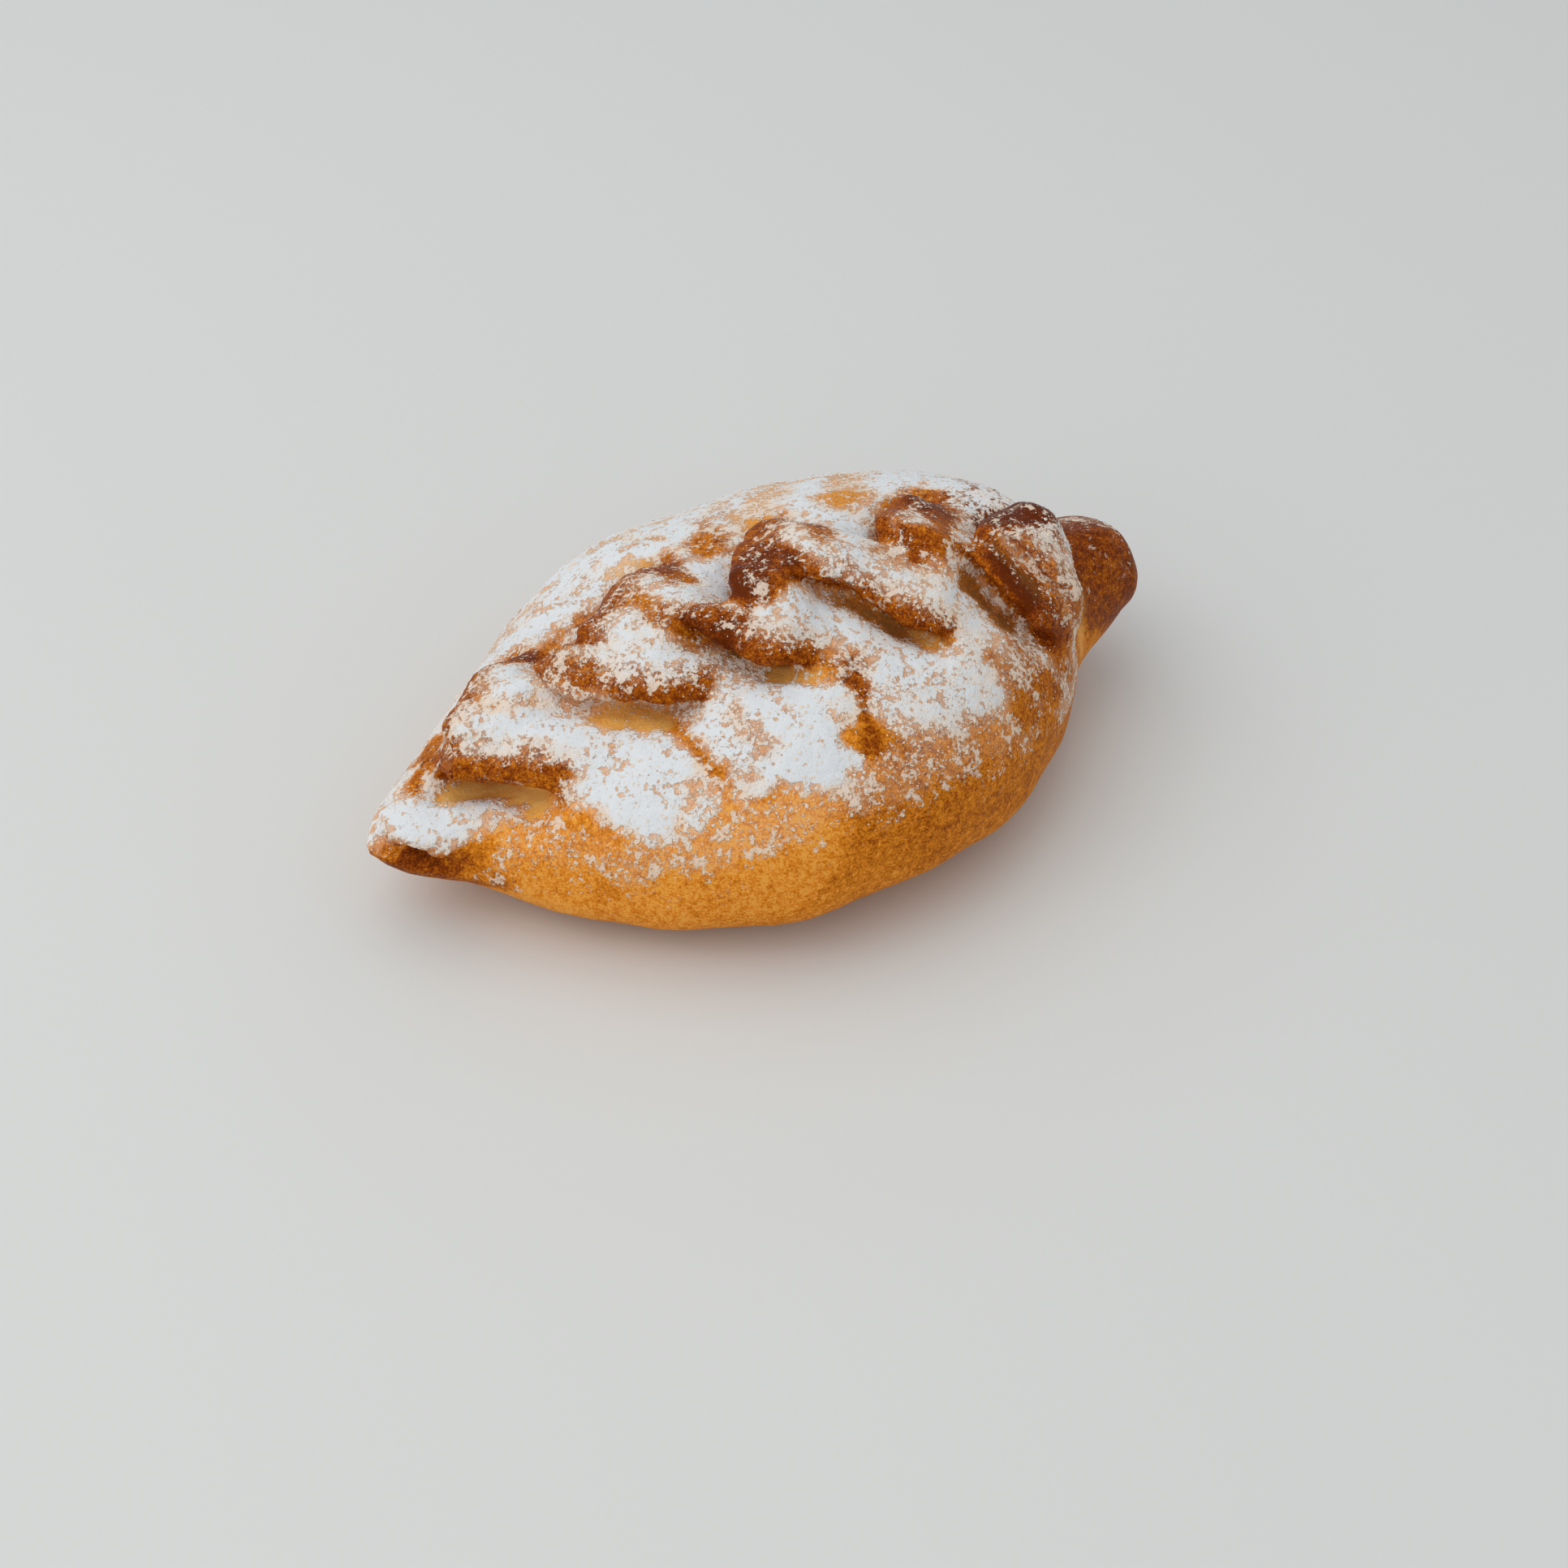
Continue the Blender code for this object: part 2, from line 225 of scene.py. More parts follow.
@dataclass(frozen=True)
class LoafForm:
    """The bare loaf: a stack of rounded cross-sections along X, sized by tables of shares."""

    length: float = 158 * MM
    half_width: float = 48 * MM
    height: float = 47 * MM
    tray_cut: float = 0.8 * MM
    belly_share: float = 0.40
    near_end_round: float = 0.035
    far_end_round: float = 0.022
    near_side: Table = (
        (0.00, 0.073), (0.03, 0.13), (0.08, 0.22), (0.16, 0.475), (0.30, 0.81), (0.42, 0.97), (0.53, 0.99),
        (0.63, 0.91), (0.73, 0.75), (0.79, 0.61), (0.83, 0.46), (0.87, 0.31), (0.95, 0.19), (1.00, 0.12),
    )
    far_side: Table = (
        (0.00, 0.083), (0.03, 0.17), (0.08, 0.30), (0.16, 0.55), (0.30, 0.88), (0.42, 1.02), (0.57, 1.02),
        (0.70, 0.94), (0.78, 0.85), (0.835, 0.75), (0.87, 0.50), (0.92, 0.38), (0.97, 0.37), (1.00, 0.34),
    )
    crown: Table = (
        (0.00, 0.39), (0.03, 0.43), (0.08, 0.50), (0.16, 0.62), (0.30, 0.84), (0.45, 0.98), (0.60, 1.00),
        (0.72, 0.97), (0.79, 0.94), (0.825, 0.90), (0.86, 0.75), (0.95, 0.70), (1.00, 0.61),
    )
    lift: Table = (
        (0.00, 0.31), (0.08, 0.165), (0.17, 0.035), (0.28, 0.00), (0.76, 0.00), (0.83, 0.03), (0.88, 0.17),
        (0.94, 0.27), (1.00, 0.37),
    )
    top_roundness: Table = ((0.00, 2.7), (0.12, 2.5), (0.30, 2.15), (0.84, 2.1), (0.93, 1.65), (1.00, 1.5))
    base_roundness: Table = ((0.00, 1.6), (0.12, 1.8), (0.30, 2.6), (0.75, 2.6), (1.00, 2.2))

    def opened(self, share: np.ndarray) -> np.ndarray:
        """Says how far each section has opened: 0 at the tips' very ends, 1 along the loaf."""
        near = np.clip(1 - share / self.near_end_round, 0, 1)
        far = np.clip(1 - (1 - share) / self.far_end_round, 0, 1)
        return np.sqrt(1 - near**2) * np.sqrt(1 - far**2)

    def surface(self, share: np.ndarray, angle: np.ndarray) -> np.ndarray:
        """Gives points of the bare loaf.

        Args:
            share: Share of the length from the near tip.
            angle: Turn round the section: 0 on the near side, a quarter turn on the crest.

        Returns:
            The points in metres, with the coordinates last.
        """
        cosine, sine = np.cos(angle), np.sin(angle)
        near, far = through(self.near_side, share), through(self.far_side, share)
        side = self.half_width * np.where(cosine > 0, near, far)
        crown = (self.height + self.tray_cut) * through(self.crown, share)
        lift = self.height * through(self.lift, share)
        belly = lift + self.belly_share * (crown - lift)
        top, base = through(self.top_roundness, share), through(self.base_roundness, share)
        power = 2 / np.where(sine > 0, top, base)
        y = -np.sign(cosine) * side * np.abs(cosine) ** power
        z = belly + np.where(sine > 0, crown - belly, lift - belly) * np.abs(sine) ** power
        opened = self.opened(share)
        middle = (crown + lift) / 2
        x = self.length * (share - 0.5) * np.ones_like(y)
        return np.stack([x, y * opened, middle + (z - middle) * opened - self.tray_cut], -1)


@dataclass
class SkinPlaces:
    """Where each point of the skin's grid lies: on the bare loaf, and in the loaf's own terms."""

    length: float
    points: np.ndarray
    share: np.ndarray
    across: np.ndarray
    along_unit: np.ndarray
    across_unit: np.ndarray
    out_unit: np.ndarray


@dataclass
class LipWork:
    """What the lips do to the skin: how they move it, and where their noses, tops and creases lie."""

    shift: np.ndarray
    nose: np.ndarray
    brow: np.ndarray
    crease: np.ndarray


@dataclass(frozen=True)
class LipRaiser:
    """Raises the lips: moves every point near a lip's line along one lip section.

    The section gives, in millimetres at full size, the distance from the lip's line on the bare loaf,
    where that point ends up along the same direction, and its height. Minus is the open crease.
    The bands are distances on the same scale: where the nose, the brow or the crease begins, where it is
    full from and to, and where it ends. The nose's last two and the brow's count from the browning's end.
    """

    section: Table = (
        (-11.0, -11.0, 0.0), (-7.5, -7.0, -0.5), (-5.0, -3.6, -1.7), (-3.2, -1.4, -3.0), (-1.8, 0.5, -3.3),
        (-0.7, 1.2, -2.0), (0.3, -0.1, -0.6), (1.2, -1.8, 0.6), (2.3, -2.1, 2.0), (3.4, -0.8, 2.9),
        (5.6, 2.6, 3.3), (9.0, 7.4, 2.8), (14.0, 13.2, 1.4), (20.0, 20.0, 0.0),
    )
    wander: Table = ((11 * MM, 0.8 * MM), (4.5 * MM, 0.5 * MM))
    torn_edge: Table = ((2.4 * MM, 0.45 * MM), (1.1 * MM, 0.25 * MM))
    unevenness: Table = ((13 * MM, 0.35),)
    line_samples: int = 40
    brow_reach: float = 3.4
    nose_band: Band = (-1.8, -0.6, 0.0, 0.9)
    brow_band: Band = (-0.6, 0.5, 1.2, 3.6)
    crease_band: Band = (-5.0, -3.2, -1.6, -0.8)
    shown_early: float = 2.2

    def raise_all(self, places: SkinPlaces) -> LipWork:
        """Adds up the work of every lip.

        Args:
            places: The skin's grid on the bare loaf.

        Returns:
            The lips' shift of every point, and their noses, brows and creases as 0 to 1.
        """
        wander = waves(places.points, self.wander) + waves(places.points, self.torn_edge)
        uneven = waves(places.points, self.unevenness)
        grid = places.across.shape
        work = LipWork(np.zeros(places.points.shape), np.zeros(grid), np.zeros(grid), np.zeros(grid))
        for lip in LIPS:
            self._raise_one(lip, places, wander, uneven, work)
        return work

    def _measure(self, lip: Lip, places: SkinPlaces) -> tuple[np.ndarray, ...]:
        """Measures every point of the skin from a lip's line.

        Args:
            lip: The lip, whose line lies in the flattened top.
            places: The skin's grid on the bare loaf.

        Returns:
            The distance, minus on the crease's side; the share of the line; and the direction away from
            the crease, along X and across.
        """
        line = smooth_line(lip.line, places.length, MM, self.line_samples)
        facing = lip.faces.value
        x, across = places.points[..., 0], places.across
        nearest = np.full(x.shape, np.inf)
        place, to_across = np.zeros((2, *x.shape))
        to_x, side = np.ones((2, *x.shape))
        for i, (start, end) in enumerate(zip(line[:-1], line[1:])):
            step = end - start
            t = np.clip(((x - start[0]) * step[0] + (across - start[1]) * step[1]) / (step @ step), 0, 1)
            off_x, off_across = x - start[0] - t * step[0], across - start[1] - t * step[1]
            distance = np.hypot(off_x, off_across)
            closer = distance < nearest
            nearest = np.where(closer, distance, nearest)
            place = np.where(closer, (i + t) / (len(line) - 1), place)
            side = np.where(closer, np.sign(step[0] * off_across - step[1] * off_x) * facing, side)
            normal = np.array([-step[1], step[0]]) * facing / np.hypot(*step)
            to_x, to_across = np.where(closer, normal[0], to_x), np.where(closer, normal[1], to_across)
        return nearest * side, place, to_x, to_across

    def _raise_one(
        self, lip: Lip, places: SkinPlaces, wander: np.ndarray, uneven: np.ndarray, work: LipWork
    ) -> None:
        """Adds one lip's work to the sum.

        Args:
            lip: The lip to raise.
            places: The skin's grid on the bare loaf.
            wander: How far the lip's line strays at each point, in metres.
            uneven: How much its height varies at each point, as a share.
            work: The sum so far, which this call changes.
        """
        distance, place, to_x, to_across = self._measure(lip, places)
        grown = smooth_step(place / lip.start_fade) * smooth_step((1 - place) / lip.end_fade)
        strength = lip.size * grown * (1 + uneven)
        reach = (distance + wander) / (MM * lip.size)
        section = np.array(self.section, float)
        behind = reach > self.brow_reach
        reach = np.where(behind, self.brow_reach + (reach - self.brow_reach) / lip.back, reach)
        run = through(section[:, :2], reach) - np.clip(reach, section[0, 0], section[-1, 0])
        rise = through(section[:, ::2], reach)
        for amount, unit in (
            (run * to_x, places.along_unit),
            (run * to_across, places.across_unit),
            (rise, places.out_unit),
        ):
            work.shift += (amount * strength * MM)[..., None] * unit
        shown = smooth_step(grown * self.shown_early)
        begins, full_from, *ends = self.nose_band
        nose = hill(reach, begins, full_from, *(lip.brown_to + at for at in ends))
        work.nose = np.maximum(work.nose, lip.browned * shown * nose)
        brow = hill(reach, *(lip.brown_to + at for at in self.brow_band))
        work.brow = np.maximum(work.brow, lip.browned * shown * brow)
        work.crease = np.maximum(work.crease, shown * hill(reach, *self.crease_band))


# ---------------- sugar and browning, with some painted shade and light, as touches on the skin


@dataclass(frozen=True)
class Touch:
    """A soft stroke on the skin that adds sugar or browning, or takes it away; a few strokes also paint
    shade or light into the browning.

    The line is (thousandths of the length, millimetres across the top); half_width is in millimetres.
    """

    name: str
    line: Table
    half_width: float
    sugar: float = 0.0
    bake: float = 0.0
    pale: float = 0.0


# Strokes that lay icing sugar where it gathers: flaps, channels between the lips, drifts and the far side.
DUSTED = (
    Touch("tip_cap", ((42, 2.5), (62, -2), (80, -6)), 4.6, 1),
    Touch("tip_cap_edge", ((60, -7), (80, -9)), 2.2, 0.22),
    Touch("tip_far_side", ((112, 14), (128, 8)), 3.0, 0.75),
    Touch("far_1_pool", ((135, 15), (160, 11)), 2.4, 0.9),
    Touch("flap_1", ((168, 2.5), (190, 0.5), (212, -3)), 4.4, 1),
    Touch("channel_1", ((225, 8), (226, -4), (224, -13)), 4.6, 1),
    Touch("drift_1", ((212, -13), (240, -20), (272, -29)), 6.0, 1),
    Touch("drift_1_right", ((265, -18), (300, -24), (303, -32)), 5.0, 0.95),
    Touch("drift_2", ((335, -20), (352, -26), (366, -34)), 6.0, 0.92),
    Touch("finger_1", ((392, -24), (402, -31), (412, -37.5)), 4.6, 1.1),
    Touch("finger_2", ((440, -25), (440, -31), (435, -38.5)), 4.6, 1.15),
    Touch("finger_bridge", ((400, -26), (430, -27), (480, -28)), 3.4, 0.95),
    Touch("finger_foot", ((425, -41), (452, -45)), 3.4, 0.5),
    Touch("flap_2", ((308, -3.5), (330, -4.5), (352, -9)), 4.2, 0.95),
    Touch("flap_2_back", ((300, 1.5), (345, 1), (392, -1)), 3.8, 0.85),
    Touch("channel_2", ((400, 6), (402, -2), (376, -12), (374, -18)), 4.2, 0.88),
    Touch("channel_3", ((428, 15), (445, 8), (446, 1)), 4.8, 1.05),
    Touch("flap_3", ((440, -8.5), (462, -9), (482, -10)), 2.8, 0.7),
    Touch("channel_4", ((506, -12), (522, -16), (536, -20)), 4.2, 0.9),
    Touch("flap_4", ((552, -3.5), (585, -6.5), (610, -10.5)), 4.2, 0.95),
    Touch("channel_5", ((600, 18), (618, 8), (606, -2)), 4.6, 1),
    Touch("under_4", ((540, -26.5), (562, -30), (590, -31)), 5.4, 0.88),
    Touch("under_4_right", ((622, -30), (652, -24), (655, -17), (640, -12)), 3.8, 0.64),
    Touch("beside_5", ((660, -11.5), (690, -10)), 3.4, 0.5),
    Touch("root_5", ((698, -7.5), (722, -9.5)), 3.0, 1),
    Touch("under_5", ((676, -26), (710, -28.5), (745, -29.5)), 3.0, 0.66),
    Touch("strip_6", ((780, -11), (796, -19), (808, -29)), 3.6, 0.66),
    Touch("strip_6_root", ((735, -2.5), (770, -1.5), (800, -0.5)), 2.6, 0.95),
    Touch("far_end", ((775, 20), (805, 14)), 7.0, 0.95),
    Touch("far_side_near_tip", ((120, 22), (200, 26)), 8.0, 0.75),
    Touch("far_side", ((250, 30), (400, 32), (600, 31), (740, 26)), 12.0, 1.1),
    Touch("far_side_upper", ((240, 21), (330, 21.5), (430, 22), (520, 20)), 4.2, 0.85),
    Touch("far_belly", ((180, 42), (400, 48), (650, 46), (780, 34)), 9.0, 0.34),
    Touch("low_4", ((545, -42), (615, -42)), 4.5, 0.42),
    Touch("right_edge", ((770, -42), (800, -38), (828, -33)), 3.0, 0.55),
    Touch("right_belly", ((600, -38.5), (660, -37), (718, -36), (775, -34)), 6.0, 0.56),
    Touch("belly_specks_left", ((120, -16), (150, -20), (200, -28)), 5.0, 0.31),
    Touch("belly_specks", ((240, -34), (320, -40), (420, -44), (540, -46), (680, -44)), 6.0, 0.36),
    Touch("lower_belly", ((200, -40), (350, -50), (600, -52), (760, -46)), 5.0, 0.05),
    Touch("far_tip_specks", ((882, 8), (890, 0)), 3.0, 0.3),
    Touch("far_tip_corner", ((930, 9), (975, 4)), 3.5, 0.42),
    Touch("far_tip_thin", ((880, -6), (930, 0), (990, -4)), 8.0, 0.07),
)

# Strokes that take the sugar away, over crust that shows brown or yellow.
BARED = (
    Touch("orange_streak", ((306, -17.5), (320, -22.5), (334, -31)), 1.7, -0.62, 0.04),
    Touch("spots_1", ((302, -30.5), (330, -32), (352, -35)), 2.8, -0.34, 0.05),
    Touch("spots_2", ((378, -24), (388, -31.5)), 2.2, -0.42, 0.05),
    Touch("bare_3", ((508, -25), (502, -31), (490, -38.5)), 1.8, -0.54, 0.34),
    Touch("bare_3_root", ((500, -21), (528, -25)), 2.0, -0.4, 0.1),
    Touch("crease_3_end", ((474, -22), (486, -25)), 2.2, -0.6, -0.05),
    Touch("flap_2_ridge", ((345, 6), (364, 4.5), (371, -1)), 1.8, -0.55, 0.12),
    Touch("flap_2_root", ((262, 3), (285, -0.5)), 2.2, -0.45, 0.06),
    Touch("flap_3_root", ((388, -4.5), (410, -7), (428, -10)), 3.0, -0.6, 0.28),
    Touch("tip_far_streak", ((72, 5), (92, 8.5), (110, 12.5)), 2.4, -0.7, 0.22),
    Touch("flap_1_ridge", ((212, 7.5), (200, 4.5), (216, 1.5)), 1.5, -0.4, 0.12),
    Touch("flank_1", ((236, 19), (242, 12)), 2.2, -0.5, 0.22),
    Touch("band_2", ((246, 13), (268, 15.5), (284, 17)), 1.9, -0.5, 0.15),
    Touch("flank_3", ((424, 18.5), (418, 11), (412, 7)), 2.2, -0.62, 0.28),
    Touch("yellow_patch", ((372, 22.5), (396, 21.5)), 2.4, -0.55, -0.15, 0.5),
    Touch("far_spots_1", ((316, 24), (345, 25), (366, 29)), 2.0, -0.32, 0.04),
    Touch("far_spots_2", ((268, 28), (300, 32)), 3.0, -0.36, 0.04),
    Touch("far_spots_3", ((408, 29), (430, 36)), 2.4, -0.4, 0.04),
    Touch("far_spots_4", ((436, 28), (440, 25)), 1.6, -0.5, 0.08),
    Touch("far_bare_4", ((466, 16), (482, 20), (502, 26)), 3.2, -0.62, 0.16),
    Touch(
        "far_rim", ((290, 33.5), (400, 35.5), (500, 35.5), (600, 35), (670, 32.5)),
        2.2, -0.56, -0.04, 0.4,
    ),
    Touch("far_rim_left", ((190, 27), (230, 32), (270, 35.5)), 2.4, -0.46, 0.04, 0.2),
    Touch("far_gold_5", ((545, 22), (570, 25), (600, 28)), 4.4, -0.58, -0.05, 0.35),
    Touch("far_gold_5_top", ((500, 27), (540, 32)), 3.0, -0.4, 0.05),
    Touch("far_gold_6", ((648, 17), (672, 21), (700, 28)), 4.6, -0.58, 0.0, 0.25),
    Touch("brow_far_3", ((300, 17), (345, 19.5), (400, 20)), 1.8, -0.45, 0.15),
    Touch("brow_far_4", ((470, 6), (490, 11), (530, 15.5), (580, 17)), 2.2, -0.46, 0.12),
    Touch("brow_far_5", ((652, 7.5), (690, 12), (735, 13), (748, 9)), 2.2, -0.55, 0.18),
    Touch("flank_4", ((468, -6), (500, -6.5), (526, -2.5)), 2.6, -0.9, 0.42),
    Touch("brow_4", ((566, 9), (575, 2), (566, -1.5)), 2.2, -0.62, 0.26),
    Touch("flank_5", ((660, -9), (690, -9), (712, -6), (726, 1)), 2.4, -0.75, 0.34),
    Touch("flank_5_low", ((622, -5), (640, -8), (662, -12)), 3.2, -0.34, 0.14),
    Touch("bare_5_low_left", ((664, -31), (684, -36), (690, -41)), 3.0, -0.42, 0.1),
    Touch("bare_5_low_right", ((706, -30), (728, -36), (742, -38)), 3.0, -0.42, 0.1),
    Touch("brow_6", ((772, -7.5), (800, -8)), 2.0, -0.45, 0.22),
    Touch("far_brow_6", ((778, -1.5), (805, 0), (838, 0.5)), 2.0, -0.8, 0.28),
    Touch("roll_6", ((790, -16), (815, -22)), 5.0, -0.25, 0.18),
    Touch("end_of_5", ((772, -27), (780, -34)), 3.0, -0.45, 0.16),
)

# Broad strokes that make the dough darker or lighter: mostly its own baking, with painted shade and painted
# light where marked.
BAKED = (
    Touch("far_tip", ((880, 2), (930, -4), (1000, -4)), 18.0, 0.0, 0.46),
    Touch("far_tip_dark_top", ((895, 4), (930, 0)), 5.0, 0.0, 0.1),
    Touch("far_tip_neck", ((874, 2), (862, -8), (852, -24)), 2.2, 0.0, -0.26, 0.3),
    Touch("near_tip_edge", ((0, 0), (30, -7), (60, -11.5), (92, -15)), 1.8, -0.5, 0.2),
    # Browned underside of the near tip, deepened with painted shade.
    Touch("near_tip_under_shade", ((10, -9), (50, -17), (85, -23)), 4.0, 0.0, 0.48),
    # The right belly's ochre tone, darkened with painted shade on the side away from the lamps.
    Touch("right_belly_ochre_and_shade", ((520, -50), (660, -46), (760, -40)), 14.0, 0.0, 0.1),
    # Painted light: the left belly is baked lighter on the side the lamps face.
    Touch("left_belly_painted_light", ((120, -16), (240, -34), (360, -50)), 11.0, 0.0, -0.15),
)

# Sugar that also lies over a lip's brown edge. These strokes come last.
OVER_LIPS = (
    Touch("far_4_top", ((548, -3.8), (562, -6.6), (584, -9.8)), 1.9, 0.62, -0.1),
    Touch("far_4_peak", ((548, -0.6), (556, 1.8)), 1.6, 0.46, -0.06),
    Touch("near_4_root", ((528, -11.2), (545, -11.6), (560, -12.2)), 1.5, 0.46, -0.16),
    Touch("near_2_root", ((242, 6), (258, 0), (276, -5)), 3.2, 0.5, -0.26),
)

# The floors of the creases under the lips: golden soft dough, kept brighter as painted light where the lip
# overhangs it, or a darker baking colour that is painted shade under the overhang.
CREASE_FLOORS = (
    # Pale dough, lifted furthest here as painted light against the first lip's shade.
    Touch("gold_1", ((95, -1), (122, -5), (152, -11.5)), 2.0, -0.9, -0.26, 1),
    Touch("gold_2", ((262, -9.5), (280, -13.5), (302, -16.5)), 1.7, -0.7, -0.05, 0.7),
    Touch("gold_3", ((430, -20.5), (448, -23), (466, -24)), 1.5, -0.7, 0.0, 0.5),
    # Painted shade: this stroke and the next darken the crease floors under the lips' overhang.
    Touch("crease_shade_3", ((408, -11), (424, -15.5), (436, -19)), 1.5, -0.7, 0.35, 0.2),
    Touch("crease_shade_4", ((552, -13), (572, -18), (590, -22)), 1.8, -0.8, 0.4, 0.25),
    Touch("gold_4", ((598, -23), (622, -25.5)), 1.8, -0.7, 0.0, 0.5),
    # Painted shade: this stroke and the next darken the crease floors under the fifth and sixth lips.
    Touch("crease_shade_5", ((690, -17), (703, -21.5), (716, -26)), 1.9, -0.76, 0.46, 0.2),
    Touch("groove_shade_6", ((755, -12), (766, -20)), 1.4, -0.6, 0.32, 0.1),
)


@dataclass(frozen=True)
class Bench:
    """Works out how far each place is baked, with painted shade and light in a few places, and how much
    sugar lies on it.
    """

    plain_bake: float = 0.29
    nose_bake: float = 0.39
    brow_bake: float = 0.30
    # Painted shade: a slightly darker baking colour on the crease floors under the lips.
    crease_painted_shade: float = 0.02
    base_bake: float = 0.22
    foot_bake: float = -0.10
    bake_drift: Table = ((17 * MM, 0.09), (6 * MM, 0.06))
    brow_sugar: float = 0.34
    dust_line: Table = (
        (0.00, -4.0), (0.075, -8.0), (0.10, -11.0), (0.15, -15.0), (0.20, -20.0), (0.25, -28.0),
        (0.275, -33.0), (0.30, -36.0), (0.35, -35.5), (0.40, -38.0), (0.43, -41.0), (0.455, -38.5),
        (0.475, -35.0), (0.50, -36.0), (0.525, -39.0), (0.55, -41.0), (0.60, -42.0), (0.65, -42.0),
        (0.70, -38.0), (0.75, -34.0), (0.78, -30.0), (0.82, -28.0), (0.845, -20.0), (0.862, 30.0),
        (1.0, 60.0),
    )
    dust_from: float = -5.0
    dust_full: float = 4.0
    dust: float = 0.78
    dust_wander: float = 0.8
    nose_shed: float = 0.92
    crease_shed: float = 0.35
    brow_shed: float = 0.38
    underside_top: float = 2.5 * MM
    underside_fade: float = 2 * MM
    foot_band: Band = (1 * MM, 3 * MM, 7 * MM, 14 * MM)
    most: float = 1.15
    far_dusted: float = 0.66
    far_bare: float = 1.0
    far_wander: float = 0.05
    least_flank: float = 1 * MM
    edge_softness: float = 3.2
    softness_share: float = 0.8
    line_samples: int = 16
    edge_wander: Table = ((7 * MM, 2.2), (2.6 * MM, 1.6))

    def lay_touch(self, touch: Touch, places: SkinPlaces, wander: np.ndarray) -> np.ndarray:
        """Gives how strongly a touch covers each place, 0 to 1.

        Args:
            touch: The stroke.
            places: The skin's grid on the bare loaf.
            wander: How far the stroke's edge strays, in millimetres.

        Returns:
            Full strength on the stroke's line, fading out round its half width.
        """
        x, across = places.points[..., 0] / MM, places.across / MM
        nearest = np.full(x.shape, np.inf)
        for at_x, at_across in smooth_line(touch.line, places.length / MM, 1, self.line_samples):
            nearest = np.minimum(nearest, np.hypot(x - at_x, across - at_across))
        most_wander = touch.half_width / 2
        inside = touch.half_width - nearest + np.clip(wander, -most_wander, most_wander)
        softness = min(self.edge_softness, self.softness_share * touch.half_width)
        return smooth_step(0.5 + inside / (2 * softness))

    def fields(self, places: SkinPlaces, work: LipWork) -> dict[str, np.ndarray]:
        """Gives the skin's finish as numbers from 0 to 1.

        Args:
            places: The skin's grid on the bare loaf.
            work: What the lips do to the skin.

        Returns:
            The fields "bake", "sugar" and "pale" on the grid.
        """
        wander = waves(places.points, self.edge_wander)
        above = places.across / MM - through(self.dust_line, places.share) + self.dust_wander * wander
        dusted = self.dust * smooth_step((above - self.dust_from) / (self.dust_full - self.dust_from))
        bared, bake, pale = np.zeros((3, *dusted.shape))
        for touch in DUSTED:
            dusted = np.maximum(dusted, touch.sugar * self.lay_touch(touch, places, wander))
        for touch in BARED + BAKED + CREASE_FLOORS:
            laid = self.lay_touch(touch, places, wander)
            bared = np.maximum(bared, -touch.sugar * laid)
            bake += touch.bake * laid
            pale = np.maximum(pale, touch.pale * laid)
        bake += self.plain_bake + waves(places.points, self.bake_drift)
        bake += self.nose_bake * work.nose + self.brow_bake * np.maximum(work.brow - work.nose, 0)
        # painted shade on the crease floors
        bake += self.crease_painted_shade * work.crease
        height = places.points[..., 2]
        underside = smooth_step((self.underside_top - height) / self.underside_fade)
        bake += self.base_bake * underside + self.foot_bake * hill(height, *self.foot_band)
        sugar = (dusted - bared) * (1 - self.nose_shed * work.nose)
        sugar = sugar * (1 - self.crease_shed * work.crease) * (1 - self.brow_shed * work.brow)
        sugar = np.maximum(sugar, self.brow_sugar * work.brow * (1 - work.crease))
        for touch in OVER_LIPS:
            laid = self.lay_touch(touch, places, wander)
            sugar = np.maximum(sugar, touch.sugar * laid)
            bake += touch.bake * laid
        far_flank = np.maximum(places.across[:, -1:], self.least_flank)
        down_far_side = places.across / far_flank + self.far_wander * wander
        sugar *= smooth_step((self.far_bare - down_far_side) / (self.far_bare - self.far_dusted))
        sugar *= 1 - underside
        pale *= 1 - work.nose
        fields = {"bake": bake, "sugar": sugar, "pale": pale}
        return {name: np.clip(value, 0, self.most) for name, value in fields.items()}


# ---------------- node sheets


MIDDLE = 0.5


